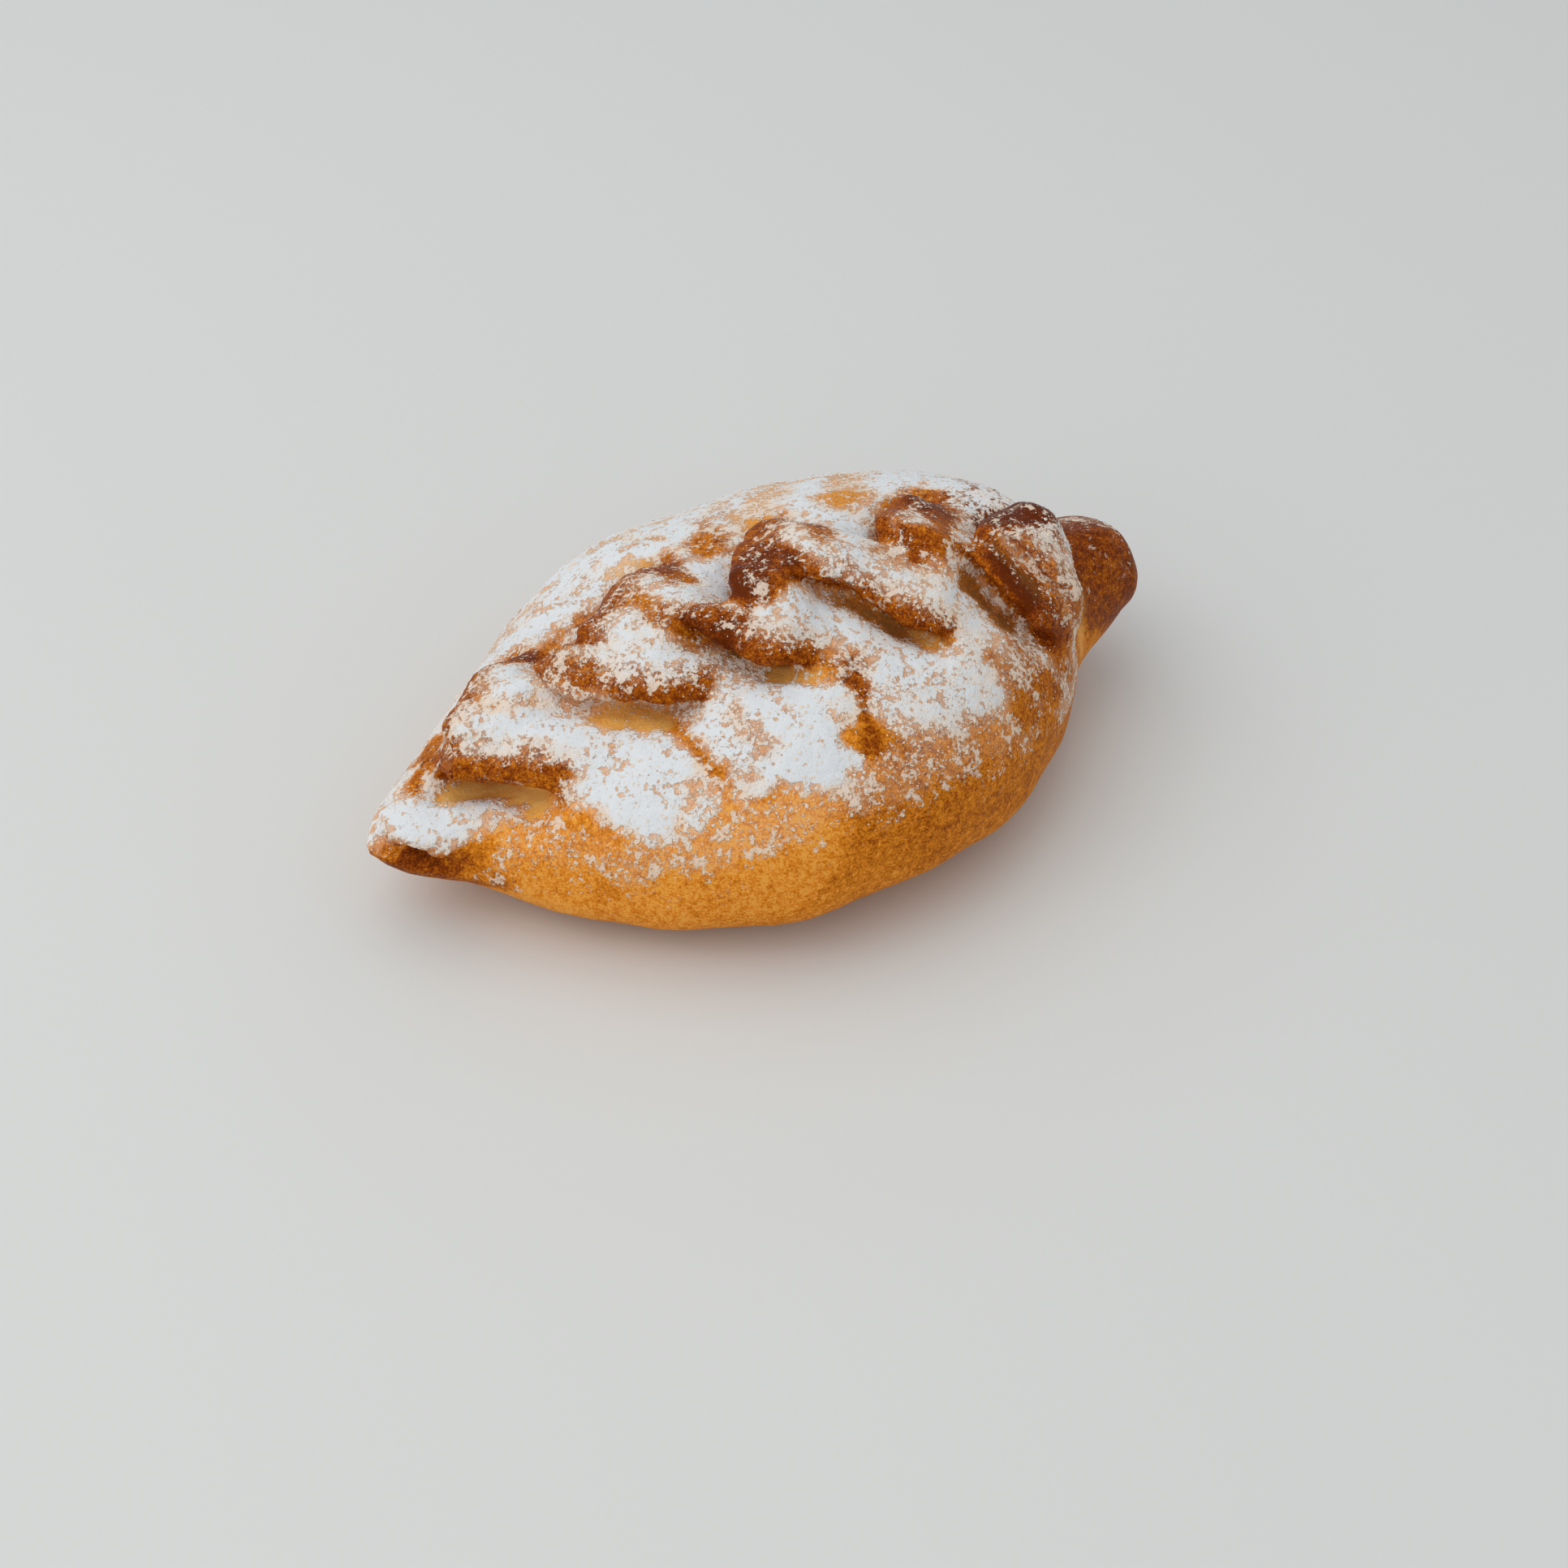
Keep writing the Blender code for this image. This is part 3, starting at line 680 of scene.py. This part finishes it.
@dataclass
class NodeSheet:
    """A material's node tree, with short ways to add the nodes that the finishes use."""

    material: bpy.types.Material

    @classmethod
    def new(cls, name: str) -> "NodeSheet":
        """Makes a material whose tree holds only a Principled shader and the output."""
        material = bpy.data.materials.new(name)
        material.use_nodes = True
        return cls(material)

    @property
    def shader(self) -> bpy.types.Node:
        """The sheet's Principled shader."""
        return self.material.node_tree.nodes["Principled BSDF"]

    def dress(self, name: str, value: object) -> None:
        """Links the shader's named input to the value, or sets it."""
        self.feed(self.shader.inputs[name], value)

    def add(self, kind: str, **settings: object) -> bpy.types.Node:
        """Adds a node and sets its properties."""
        node = self.material.node_tree.nodes.new(kind)
        for key, value in settings.items():
            setattr(node, key, value)
        return node

    def join(self, source: Socket, target: Socket) -> None:
        """Links an output to an input."""
        self.material.node_tree.links.new(source, target)

    def feed(self, target: Socket, value: object) -> None:
        """Links the value to the input if it is an output, and otherwise sets it."""
        if isinstance(value, Socket):
            self.join(value, target)
        else:
            target.default_value = value

    def attribute(self, name: str) -> Socket:
        """Reads a number kept on the mesh."""
        return self.add("ShaderNodeAttribute", attribute_name=name).outputs["Fac"]

    def place(self) -> Socket:
        """Gives the place on the object, in metres."""
        return self.add("ShaderNodeTexCoord").outputs["Object"]

    def grain(self, place: Socket, size: float, detail: float = 2.0, rough: float = 0.55) -> Socket:
        """Adds a noise texture.

        Args:
            place: The place on the object.
            size: The size of its largest features, in metres.
            detail: How many finer layers it has.
            rough: How strong the finer layers are.

        Returns:
            Its value, about 0.5 on average.
        """
        texture = self.add("ShaderNodeTexNoise")
        self.join(place, texture.inputs["Vector"])
        texture.inputs["Scale"].default_value = 1 / size
        texture.inputs["Detail"].default_value = detail
        texture.inputs["Roughness"].default_value = rough
        return texture.outputs["Fac"]

    def sum(self, operation: str, first: object, second: object, third: object = None) -> Socket:
        """Adds a Math node and gives its result."""
        node = self.add("ShaderNodeMath", operation=operation)
        for socket, value in zip(node.inputs, (first, second, third)):
            if value is not None:
                self.feed(socket, value)
        return node.outputs[0]

    def span(
        self, value: object, low: float, high: float, to_low: float = 0.0, to_high: float = 1.0
    ) -> Socket:
        """Eases a value's span low to high into the span to_low to to_high."""
        node = self.add("ShaderNodeMapRange", interpolation_type="SMOOTHSTEP")
        for name, number in (("From Min", low), ("From Max", high), ("To Min", to_low), ("To Max", to_high)):
            node.inputs[name].default_value = number
        self.feed(node.inputs["Value"], value)
        return node.outputs["Result"]

    def centred(self, value: Socket) -> Socket:
        """Moves a texture's value so that its average is about 0."""
        return self.sum("SUBTRACT", value, MIDDLE)

    def cut(self, value: Socket, edge: float) -> Socket:
        """Gives 0 below the middle and 1 above it, with a soft edge."""
        return self.span(value, MIDDLE - edge, MIDDLE + edge)

    def blend(self, share: object, first: object, second: object) -> Socket:
        """Mixes two colours."""
        node = self.add("ShaderNodeMix", data_type="RGBA")
        self.feed(node.inputs["Factor"], share)
        self.feed(node.inputs["A"], (*first, 1.0) if isinstance(first, tuple) else first)
        self.feed(node.inputs["B"], (*second, 1.0) if isinstance(second, tuple) else second)
        return node.outputs["Result"]

    def ramp(self, value: Socket, stops: tuple[tuple[float, Colour], ...]) -> Socket:
        """Turns a number into a colour through stops of (number, colour)."""
        node = self.add("ShaderNodeValToRGB")
        elements = node.color_ramp.elements
        while len(elements) < len(stops):
            elements.new(MIDDLE)
        for element, (at, colour) in zip(elements, stops):
            element.position = at
            element.color = (*colour, 1.0)
        self.join(value, node.inputs["Fac"])
        return node.outputs["Color"]

    def bump(self, height: Socket, depth: float) -> Socket:
        """Adds a Bump node whose height of 1 stands depth metres out."""
        node = self.add("ShaderNodeBump")
        node.inputs["Distance"].default_value = depth
        self.join(height, node.inputs["Height"])
        return node.outputs["Normal"]


# ---------------- finishes


@dataclass(frozen=True)
class SugarFinish:
    """Icing sugar: matt, faintly blue where it lies thick, and warmer where it is thin."""

    thick: Colour = (0.75, 0.775, 0.79)
    thin: Colour = (0.84, 0.68, 0.54)
    powder_size: float = 0.45 * MM
    powder_depth: float = 0.12 * MM
    thickening: Pair = (0.4, 0.75)
    roughening: Pair = (0.2, 0.8)
    smoothest: float = 0.8
    roughness: float = 0.9
    specular: float = 0.25

    def material(self) -> bpy.types.Material:
        """Makes the material of the sugar that stands free of the crust."""
        sheet = NodeSheet.new("icing_sugar")
        place = sheet.place()
        powder = sheet.grain(place, self.powder_size, detail=3)
        colour = sheet.blend(sheet.span(powder, *self.thickening), self.thin, self.thick)
        sheet.dress("Base Color", colour)
        rough = sheet.span(powder, *self.roughening, self.smoothest, 1.0)
        sheet.dress("Roughness", rough)
        sheet.dress("Normal", sheet.bump(powder, self.powder_depth))
        sheet.dress("Specular IOR Level", self.specular)
        return sheet.material


@dataclass(frozen=True)
class CrustFinish:
    """Baked dough, from pale gold in the creases to dark red-brown on the lips, under its sugar."""

    baked: tuple[tuple[float, Colour], ...] = (
        (0.00, (0.87, 0.375, 0.060)),
        (0.20, (0.76, 0.236, 0.016)),
        (0.38, (0.57, 0.176, 0.009)),
        (0.56, (0.40, 0.098, 0.004)),
        (0.74, (0.25, 0.046, 0.002)),
        (1.00, (0.115, 0.017, 0.001)),
    )
    # The pale crease dough's own colour, lifted brighter as painted light against the shade the lips cast
    # into the creases.
    pale_dough_and_painted_light: Colour = (0.84, 0.50, 0.14)
    sugar: SugarFinish = field(default_factory=SugarFinish)
    mottle_size: float = 1.3 * MM
    mottle: float = 0.46
    fleck_size: float = 0.42 * MM
    fleck: float = 0.58
    speck_size: float = 0.80 * MM
    patch_size: float = 2.0 * MM
    drift_size: float = 5.0 * MM
    fine_gain: float = 3.0
    patch_gain: float = 4.6
    drift_gain: float = 2.4
    haze_slope: float = 1.7
    haze_start: float = -0.40
    haze_edge: float = 0.30
    haze_cover: float = 0.56
    veil_from: float = 0.20
    veil_full: float = 0.75
    veil_cover: float = 0.46
    veil_bake: Pair = (0.42, 0.72)
    haze_dark: float = 0.35
    mask_slope: float = 1.6
    mask_start: float = -0.38
    mask_edge: float = 0.18
    present: Pair = (0.02, 0.10)
    thickening: Pair = (0.45, 0.95)
    cover_span: Band = (0.15, 0.85, 0.72, 0.97)
    amount_gain: float = 0.9
    pale_span: Band = (-0.25, 0.1, 0.55, 0.95)
    powder_grain: float = 0.9
    powder_floor: float = 0.35
    haze_height: float = 0.8
    crust_depth: float = 0.26 * MM
    powder_depth: float = 0.13 * MM
    matt: float = 0.62
    glazed: float = 0.42
    glazing: Pair = (0.35, 0.85)
    specular: float = 0.10
    glaze: Colour = (1.0, 0.66, 0.34)

    def material(self) -> bpy.types.Material:
        """Makes the crust's material, which reads the skin's numbers for baking with painted shade, for
        sugar and for paleness.
        """
        sheet = NodeSheet.new("baked_crust")
        place = sheet.place()
        crust, bake = self._crust_colour(sheet, place)
        haze, mask, amount, speck = self._sugar_mask(sheet, place)
        veil = sheet.span(sheet.attribute("sugar"), self.veil_from, self.veil_full, 0.0, self.veil_cover)
        baked = sheet.span(sheet.attribute("bake"), *self.veil_bake, 1.0, 0.0)
        veil = sheet.sum("MULTIPLY", veil, baked)
        cover = sheet.span(sheet.attribute("bake"), *self.veil_bake, self.haze_cover, self.haze_dark)
        veil = sheet.sum("MAXIMUM", veil, sheet.sum("MULTIPLY", haze, cover))
        veiled = sheet.blend(veil, crust, self.sugar.thin)
        powder = sheet.blend(sheet.span(amount, *self.thickening), self.sugar.thin, self.sugar.thick)
        opaque = sheet.sum("MULTIPLY", mask, sheet.span(amount, *self.cover_span))
        sheet.dress("Base Color", sheet.blend(opaque, veiled, powder))
        bare = sheet.span(bake, *self.glazing, self.matt, self.glazed)
        bare = sheet.sum("MULTIPLY", bare, sheet.sum("SUBTRACT", 1.0, mask))
        rough = sheet.sum("ADD", bare, sheet.sum("MULTIPLY", mask, self.sugar.roughness))
        sheet.dress("Roughness", rough)
        sheet.dress("Normal", self._relief(sheet, place, haze, mask, speck))
        sheet.dress("Specular IOR Level", self.specular)
        sheet.dress("Specular Tint", (*self.glaze, 1.0))
        return sheet.material

    def _crust_colour(self, sheet: NodeSheet, place: Socket) -> tuple[Socket, Socket]:
        """Gives the bare crust's colour and its baking number with painted shade, mottled and flecked."""
        mottle = sheet.centred(sheet.grain(place, self.mottle_size, detail=3))
        fleck = sheet.centred(sheet.grain(place, self.fleck_size, detail=2))
        bake = sheet.sum("MULTIPLY_ADD", mottle, self.mottle * 2, sheet.attribute("bake"))
        bake = sheet.sum("MULTIPLY_ADD", fleck, self.fleck * 2, bake)
        colour = sheet.ramp(bake, self.baked)
        pale = sheet.sum("MULTIPLY", sheet.attribute("pale"), sheet.span(mottle, *self.pale_span))
        return sheet.blend(pale, colour, self.pale_dough_and_painted_light), bake

    def _sugar_mask(self, sheet: NodeSheet, place: Socket) -> tuple[Socket, Socket, Socket, Socket]:
        """Gives where sugar lies as a thin haze of specks, where as drifts, how thick, and its grain."""
        speck = sheet.grain(place, self.speck_size, detail=2, rough=0.6)
        patch = sheet.grain(place, self.patch_size, detail=4, rough=0.62)
        drift = sheet.grain(place, self.drift_size, detail=2)
        fine = sheet.sum("MULTIPLY", sheet.centred(speck), self.fine_gain)
        broad = sheet.sum("MULTIPLY_ADD", sheet.centred(drift), self.drift_gain, fine)
        middle = sheet.sum("MULTIPLY_ADD", sheet.centred(patch), self.patch_gain, broad)
        sugar = sheet.attribute("sugar")
        present = sheet.span(sugar, *self.present)
        hazy = sheet.sum("ADD", sheet.sum("MULTIPLY_ADD", sugar, self.haze_slope, self.haze_start), broad)
        thick = sheet.sum("ADD", sheet.sum("MULTIPLY_ADD", sugar, self.mask_slope, self.mask_start), middle)
        haze = sheet.sum("MULTIPLY", sheet.cut(hazy, self.haze_edge), present)
        mask = sheet.sum("MULTIPLY", sheet.cut(thick, self.mask_edge), present)
        amount = sheet.sum("MULTIPLY_ADD", sheet.centred(patch), self.amount_gain, sugar)
        return haze, mask, amount, speck

    def _relief(
        self, sheet: NodeSheet, place: Socket, haze: Socket, mask: Socket, speck: Socket
    ) -> Socket:
        """Gives the normal: leathery crust, with the sugar's powder standing on it."""
        leather = sheet.grain(place, self.mottle_size, detail=5, rough=0.6)
        crust = sheet.sum("MULTIPLY", leather, self.crust_depth / self.powder_depth)
        grains = sheet.sum("MULTIPLY_ADD", speck, self.powder_grain, self.powder_floor)
        powder = sheet.sum("MULTIPLY", mask, grains)
        powder = sheet.sum("MULTIPLY_ADD", haze, self.haze_height, powder)
        return sheet.bump(sheet.sum("ADD", crust, powder), self.powder_depth)


@dataclass(frozen=True)
class FloorFinish:
    """A plain pale glazed surface with a faint unevenness."""

    colour: Colour = (0.705, 0.702, 0.68)
    cloud_size: float = 0.35
    cloud: float = 0.02
    roughness: float = 0.5
    specular: float = 0.3

    def material(self) -> bpy.types.Material:
        """Makes the floor's material."""
        sheet = NodeSheet.new("pale_floor")
        cloud = sheet.grain(sheet.place(), self.cloud_size, detail=2)
        darker = tuple(c * (1 - self.cloud) for c in self.colour)
        sheet.dress("Base Color", sheet.blend(cloud, darker, self.colour))
        sheet.dress("Roughness", self.roughness)
        sheet.dress("Specular IOR Level", self.specular)
        return sheet.material


# ---------------- the crust


def unit_vectors(points: np.ndarray) -> tuple[np.ndarray, np.ndarray, np.ndarray]:
    """Gives the directions of a grid at each point.

    Args:
        points: The grid: rings along the loaf, columns round it.

    Returns:
        Unit vectors along the loaf, across it from near to far, and out of it.
    """
    along = np.gradient(points, axis=0)
    across = np.gradient(points, axis=1)
    across[:, 0] = across[:, -1] = points[:, 1] - points[:, -2]
    out = np.cross(along, across)
    along, out = (v / np.maximum(np.linalg.norm(v, axis=-1, keepdims=True), TINY) for v in (along, out))
    return along, np.cross(out, along), out


@dataclass
class CrustSkin:
    """The bun's skin: a closed grid of points with the lips, the swellings and the sugar's thickness."""

    form: LoafForm = field(default_factory=LoafForm)
    lips: LipRaiser = field(default_factory=LipRaiser)
    bench: Bench = field(default_factory=Bench)
    finish: CrustFinish = field(default_factory=CrustFinish)
    rings: int = 370
    top_columns: int = 214
    base_columns: int = 36
    end_crowding: float = 0.38
    crest_crowding: float = 0.34
    swellings: Table = ((26 * MM, 0.9 * MM), (11 * MM, 0.45 * MM))
    wrinkles: Table = ((4.5 * MM, 0.16 * MM), (2.0 * MM, 0.09 * MM), (1.1 * MM, 0.05 * MM))
    sugar_height: float = 0.30 * MM
    sugar_lumps: Table = ((2.6 * MM, 0.6), (1.3 * MM, 0.4))
    plain_wrinkling: float = 0.6
    lip_wrinkling: float = 1.2
    drift_gain: float = 1.25
    drift_start: float = 0.3
    grid: np.ndarray = field(default=None, init=False)
    out: np.ndarray = field(default=None, init=False)
    values: dict[str, np.ndarray] = field(default_factory=dict, init=False)

    def places(self) -> SkinPlaces:
        """Lays the grid on the bare loaf."""
        even = np.linspace(0, 1, self.rings)
        share = even - self.end_crowding * np.sin(2 * np.pi * even) / (2 * np.pi)
        base = np.linspace(-np.pi, 0, self.base_columns, endpoint=False)
        top = np.linspace(0, np.pi, self.top_columns)
        top = top + self.crest_crowding * np.sin(2 * top) / 2
        angle = np.concatenate([base, top])
        shares, angles = np.meshgrid(share, angle, indexing="ij")
        points = self.form.surface(shares, angles)
        crest = self.base_columns + self.top_columns // 2
        steps = np.linalg.norm(np.diff(points, axis=1), axis=2)
        run = np.concatenate([np.zeros((len(points), 1)), np.cumsum(steps, axis=1)], axis=1)
        across = run - run[:, crest : crest + 1]
        return SkinPlaces(self.form.length, points, shares, across, *unit_vectors(points))

    def shape(self, lowest: Vector, highest: Vector) -> None:
        """Works out the skin's points and its finish.

        Args:
            lowest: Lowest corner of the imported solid's box.
            highest: Highest corner of that box.
        """
        places = self.places()
        work = self.lips.raise_all(places)
        self.values = self.bench.fields(places, work)
        out = places.out_unit
        grid = places.points + work.shift + waves(places.points, self.swellings)[..., None] * out
        _, _, normal = unit_vectors(grid)
        crumpled = self.plain_wrinkling + self.lip_wrinkling * np.maximum(work.nose, work.brow)
        fine = waves(grid, self.wrinkles) * crumpled
        lumps = 1 + waves(grid, self.sugar_lumps)
        drifted = smooth_step(self.values["sugar"] * self.drift_gain - self.drift_start)
        drift = self.sugar_height * drifted * lumps
        grid = grid + (fine + drift)[..., None] * normal
        grid[..., 2] = np.maximum(grid[..., 2], 0)
        self.grid = self._fit(grid, np.array(lowest), np.array(highest))
        _, _, self.out = unit_vectors(self.grid)

    @staticmethod
    def _fit(grid: np.ndarray, lowest: np.ndarray, highest: np.ndarray) -> np.ndarray:
        """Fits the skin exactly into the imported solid's box."""
        low, high = grid.min(axis=(0, 1)), grid.max(axis=(0, 1))
        return lowest + (grid - low) * (highest - lowest) / (high - low)

    def build(self) -> bpy.types.Object:
        """Makes the skin's object: rings of quads, with a fan at each tip, and its numbers."""
        rings = self.grid[1:-1, :-1]
        count, columns = rings.shape[:2]
        points = np.concatenate([rings.reshape(-1, 3), self.grid[:1, 0], self.grid[-1:, 0]])
        near_pole, far_pole = count * columns, count * columns + 1
        ring, column = np.meshgrid(np.arange(count - 1), np.arange(columns), indexing="ij")
        after = (column + 1) % columns
        here, beyond = ring * columns, (ring + 1) * columns
        quads = np.stack([here + column, beyond + column, beyond + after, here + after], -1).reshape(-1, 4)
        fans = []
        for c in range(columns):
            n = (c + 1) % columns
            fans.append((near_pole, c, n))
            fans.append((far_pole, (count - 1) * columns + n, (count - 1) * columns + c))
        mesh = bpy.data.meshes.new("pirozhok_crust")
        mesh.from_pydata(points.tolist(), [], quads.tolist() + fans)
        for name, value in self.values.items():
            inner = value[1:-1, :-1].reshape(-1)
            numbers = np.concatenate([inner, [value[0, 0], value[-1, 0]]]).astype(np.float32)
            mesh.attributes.new(name, "FLOAT", "POINT").data.foreach_set("value", numbers)
        mesh.shade_smooth()
        mesh.materials.append(self.finish.material())
        crust = put_in_scene("pirozhok_crust", mesh)
        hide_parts(NODE)
        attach(crust, BODY)
        return crust


# ---------------- sugar that stands free


@dataclass
class SugarScatter:
    """Small lumps of sugar lying on the skin, all one mesh, at true size."""

    name: str
    count: int
    smallest: float
    largest: float
    flatness: float
    from_sugar: Table
    seed: int
    sink: float = 0.35
    upward_gain: float = 2.0
    upward_start: float = 0.6
    small_share: float = 2.2
    unevenness: Pair = (0.65, 1.25)
    slant: tuple[float, float, float] = (0.37, 0.61, 0.70)

    def _lump(self) -> tuple[np.ndarray, np.ndarray]:
        """Gives a lump's corners and faces: an octahedron."""
        corners = np.array([(1, 0, 0), (0, 1, 0), (-1, 0, 0), (0, -1, 0), (0, 0, 1), (0, 0, -1)], float)
        upper = [(0, 1, 4), (1, 2, 4), (2, 3, 4), (3, 0, 4)]
        lower = [(1, 0, 5), (2, 1, 5), (3, 2, 5), (0, 3, 5)]
        return corners, np.array(upper + lower)

    def build(self, skin: CrustSkin, material: bpy.types.Material) -> bpy.types.Object:
        """Scatters the lumps and joins them.

        Args:
            skin: The skin that they lie on.
            material: The sugar's material.

        Returns:
            The one object that holds them.
        """
        draw = np.random.default_rng(self.seed)
        grid, out = skin.grid[1:-1, :-1], skin.out[1:-1, :-1]
        along, around = np.gradient(grid, axis=0), np.gradient(grid, axis=1)
        area = np.linalg.norm(np.cross(along, around), axis=-1)
        chance = through(self.from_sugar, skin.values["sugar"][1:-1, :-1]) * area
        chance *= np.clip(out[..., 2] * self.upward_gain + self.upward_start, 0, 1)
        chance = np.maximum(chance, 0).reshape(-1)
        spots = draw.choice(len(chance), self.count, p=chance / chance.sum())
        along, around, normal = (v.reshape(-1, 3)[spots] for v in (along, around, out))
        jitter = draw.uniform(-0.5, 0.5, (self.count, 2, 1))
        centre = grid.reshape(-1, 3)[spots] + jitter[:, 0] * along + jitter[:, 1] * around
        size = self.smallest + (self.largest - self.smallest) * draw.random(self.count) ** self.small_share
        corners, faces = self._lump()
        shape = corners[None] * draw.uniform(*self.unevenness, (self.count, len(corners), 1))
        turn = draw.uniform(0, 2 * np.pi, self.count)
        first = np.cross(normal, np.array(self.slant))
        first /= np.linalg.norm(first, axis=1, keepdims=True)
        second = np.cross(normal, first)
        axis_1 = first * np.cos(turn)[:, None] + second * np.sin(turn)[:, None]
        axis_2 = np.cross(normal, axis_1)
        half = size[:, None, None] / 2
        points = (
            centre[:, None]
            + half * shape[..., :1] * axis_1[:, None]
            + half * shape[..., 1:2] * axis_2[:, None]
            + half * self.flatness * (shape[..., 2:] + 1 - 2 * self.sink) * normal[:, None]
        )
        low, high = skin.grid.min(axis=(0, 1)), skin.grid.max(axis=(0, 1))
        inside = ((points > low) & (points < high)).all(axis=(1, 2))
        points = points[inside]
        all_faces = faces[None] + (np.arange(len(points)) * len(corners))[:, None, None]
        mesh = bpy.data.meshes.new(self.name)
        mesh.from_pydata(points.reshape(-1, 3).tolist(), [], all_faces.reshape(-1, 3).tolist())
        mesh.materials.append(material)
        lumps = put_in_scene(self.name, mesh)
        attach(lumps, BODY)
        return lumps


@dataclass
class Dusting:
    """The icing sugar that is mesh: clumps in the drifts and specks on the bare crust."""

    finish: SugarFinish = field(default_factory=SugarFinish)
    kinds: tuple[SugarScatter, ...] = (
        SugarScatter(
            "sugar_clumps", 5000, 0.35 * MM, 1.0 * MM, 0.40,
            ((0.0, 0.0), (0.35, 0.0), (0.65, 1.0), (0.9, 0.5), (1.15, 0.3)), 11,
        ),
        SugarScatter(
            "sugar_specks", 10000, 0.16 * MM, 0.40 * MM, 0.5,
            ((0.0, 0.0), (0.06, 0.02), (0.25, 0.35), (0.6, 1.0), (0.9, 0.25), (1.15, 0.1)), 23,
        ),
    )

    def build(self, skin: CrustSkin) -> list[bpy.types.Object]:
        """Scatters each kind over the skin, all in one material."""
        material = self.finish.material()
        return [kind.build(skin, material) for kind in self.kinds]


# ---------------- studio


def direction(azimuth: float, elevation: float) -> Vector:
    """Gives the way out at two angles in degrees. Azimuth 0 is on -Y, the near side, and 90 on +X."""
    turn, rise = math.radians(azimuth), math.radians(elevation)
    return Vector((math.sin(turn) * math.cos(rise), -math.cos(turn) * math.cos(rise), math.sin(rise)))


@dataclass(frozen=True)
class SoftLamp:
    """A square soft light that looks at the bun."""

    name: str
    azimuth: float
    elevation: float
    distance: float
    size: float
    watts: float
    colour: Colour = (1.0, 1.0, 1.0)

    def build(self, target: Vector) -> None:
        """Hangs the lamp so that it looks at the target."""
        way = direction(self.azimuth, self.elevation)
        data = bpy.data.lights.new(self.name, "AREA")
        data.energy = self.watts
        data.size = self.size
        data.color = self.colour
        lamp = put_in_scene(self.name, data)
        lamp.location = target + way * self.distance
        lamp.rotation_euler = (-way).to_track_quat("-Z", "Y").to_euler()


@dataclass(frozen=True)
class StudioCamera:
    """A short telephoto that looks down on the bun's near side from the left."""

    azimuth: float = -29.0
    elevation: float = 41.7
    distance: float = 0.430
    lens_mm: float = 52.2
    sensor_mm: float = 36.0
    slide_right: float = 2.38 * MM
    slide_up: float = -2.15 * MM
    nearest_seen: float = 0.01

    def build(self) -> None:
        """Makes the camera and looks through it."""
        back = direction(self.azimuth, self.elevation)
        turn = math.radians(self.azimuth)
        right = Vector((math.cos(turn), math.sin(turn), 0))
        up = back.cross(right)
        data = bpy.data.cameras.new("studio_camera")
        data.lens = self.lens_mm
        data.sensor_width = self.sensor_mm
        data.clip_start = self.nearest_seen
        camera = put_in_scene("studio_camera", data)
        turned = Matrix((right, up, back)).transposed().to_4x4()
        turned.translation = back * self.distance + right * self.slide_right + up * self.slide_up
        camera.matrix_world = turned
        bpy.context.scene.camera = camera


@dataclass(frozen=True)
class Studio:
    """A plain pale floor, soft light from the upper left and behind, and the camera."""

    floor_size: float = 6.0
    floor_drop: float = 0.2 * MM
    sky: Colour = (0.93, 0.97, 1.0)
    sky_strength: float = 0.61
    finish: FloorFinish = field(default_factory=FloorFinish)
    camera: StudioCamera = field(default_factory=StudioCamera)
    lamps: tuple[SoftLamp, ...] = (
        SoftLamp("window", -135.0, 66.0, 1.1, 1.3, 4.0, (0.97, 0.985, 1.0)),
        SoftLamp("side_fill", -72.0, 38.0, 1.3, 1.5, 5.4, (1.0, 0.98, 0.95)),
    )

    def build(self, target: Vector) -> None:
        """Builds the floor, the lights and the camera round the bun's middle."""
        scene = bpy.context.scene
        scene.view_settings.view_transform = "Standard"
        half = self.floor_size / 2
        corners = [(-half, -half), (half, -half), (half, half), (-half, half)]
        mesh = bpy.data.meshes.new("floor")
        mesh.from_pydata([(*corner, -self.floor_drop) for corner in corners], [], [(0, 1, 2, 3)])
        mesh.materials.append(self.finish.material())
        floor = put_in_scene("floor", mesh)
        world = bpy.data.worlds.new("studio")
        world.use_nodes = True
        background = world.node_tree.nodes["Background"]
        background.inputs["Color"].default_value = (*self.sky, 1.0)
        background.inputs["Strength"].default_value = self.sky_strength
        scene.world = world
        for lamp in self.lamps:
            lamp.build(target)
        self.camera.build()


def main() -> None:
    """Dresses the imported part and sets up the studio."""
    logging.basicConfig(level=logging.INFO, format="%(name)s: %(message)s")
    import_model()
    lowest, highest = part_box(NODE)
    skin = CrustSkin()
    skin.shape(lowest, highest)
    pieces = [skin.build()]
    pieces += Dusting().build(skin)
    for piece in pieces:
        log.info("%s: %d faces", piece.name, len(piece.data.polygons))
    Studio().build((lowest + highest) / 2)


if __name__ == "__main__":
    main()
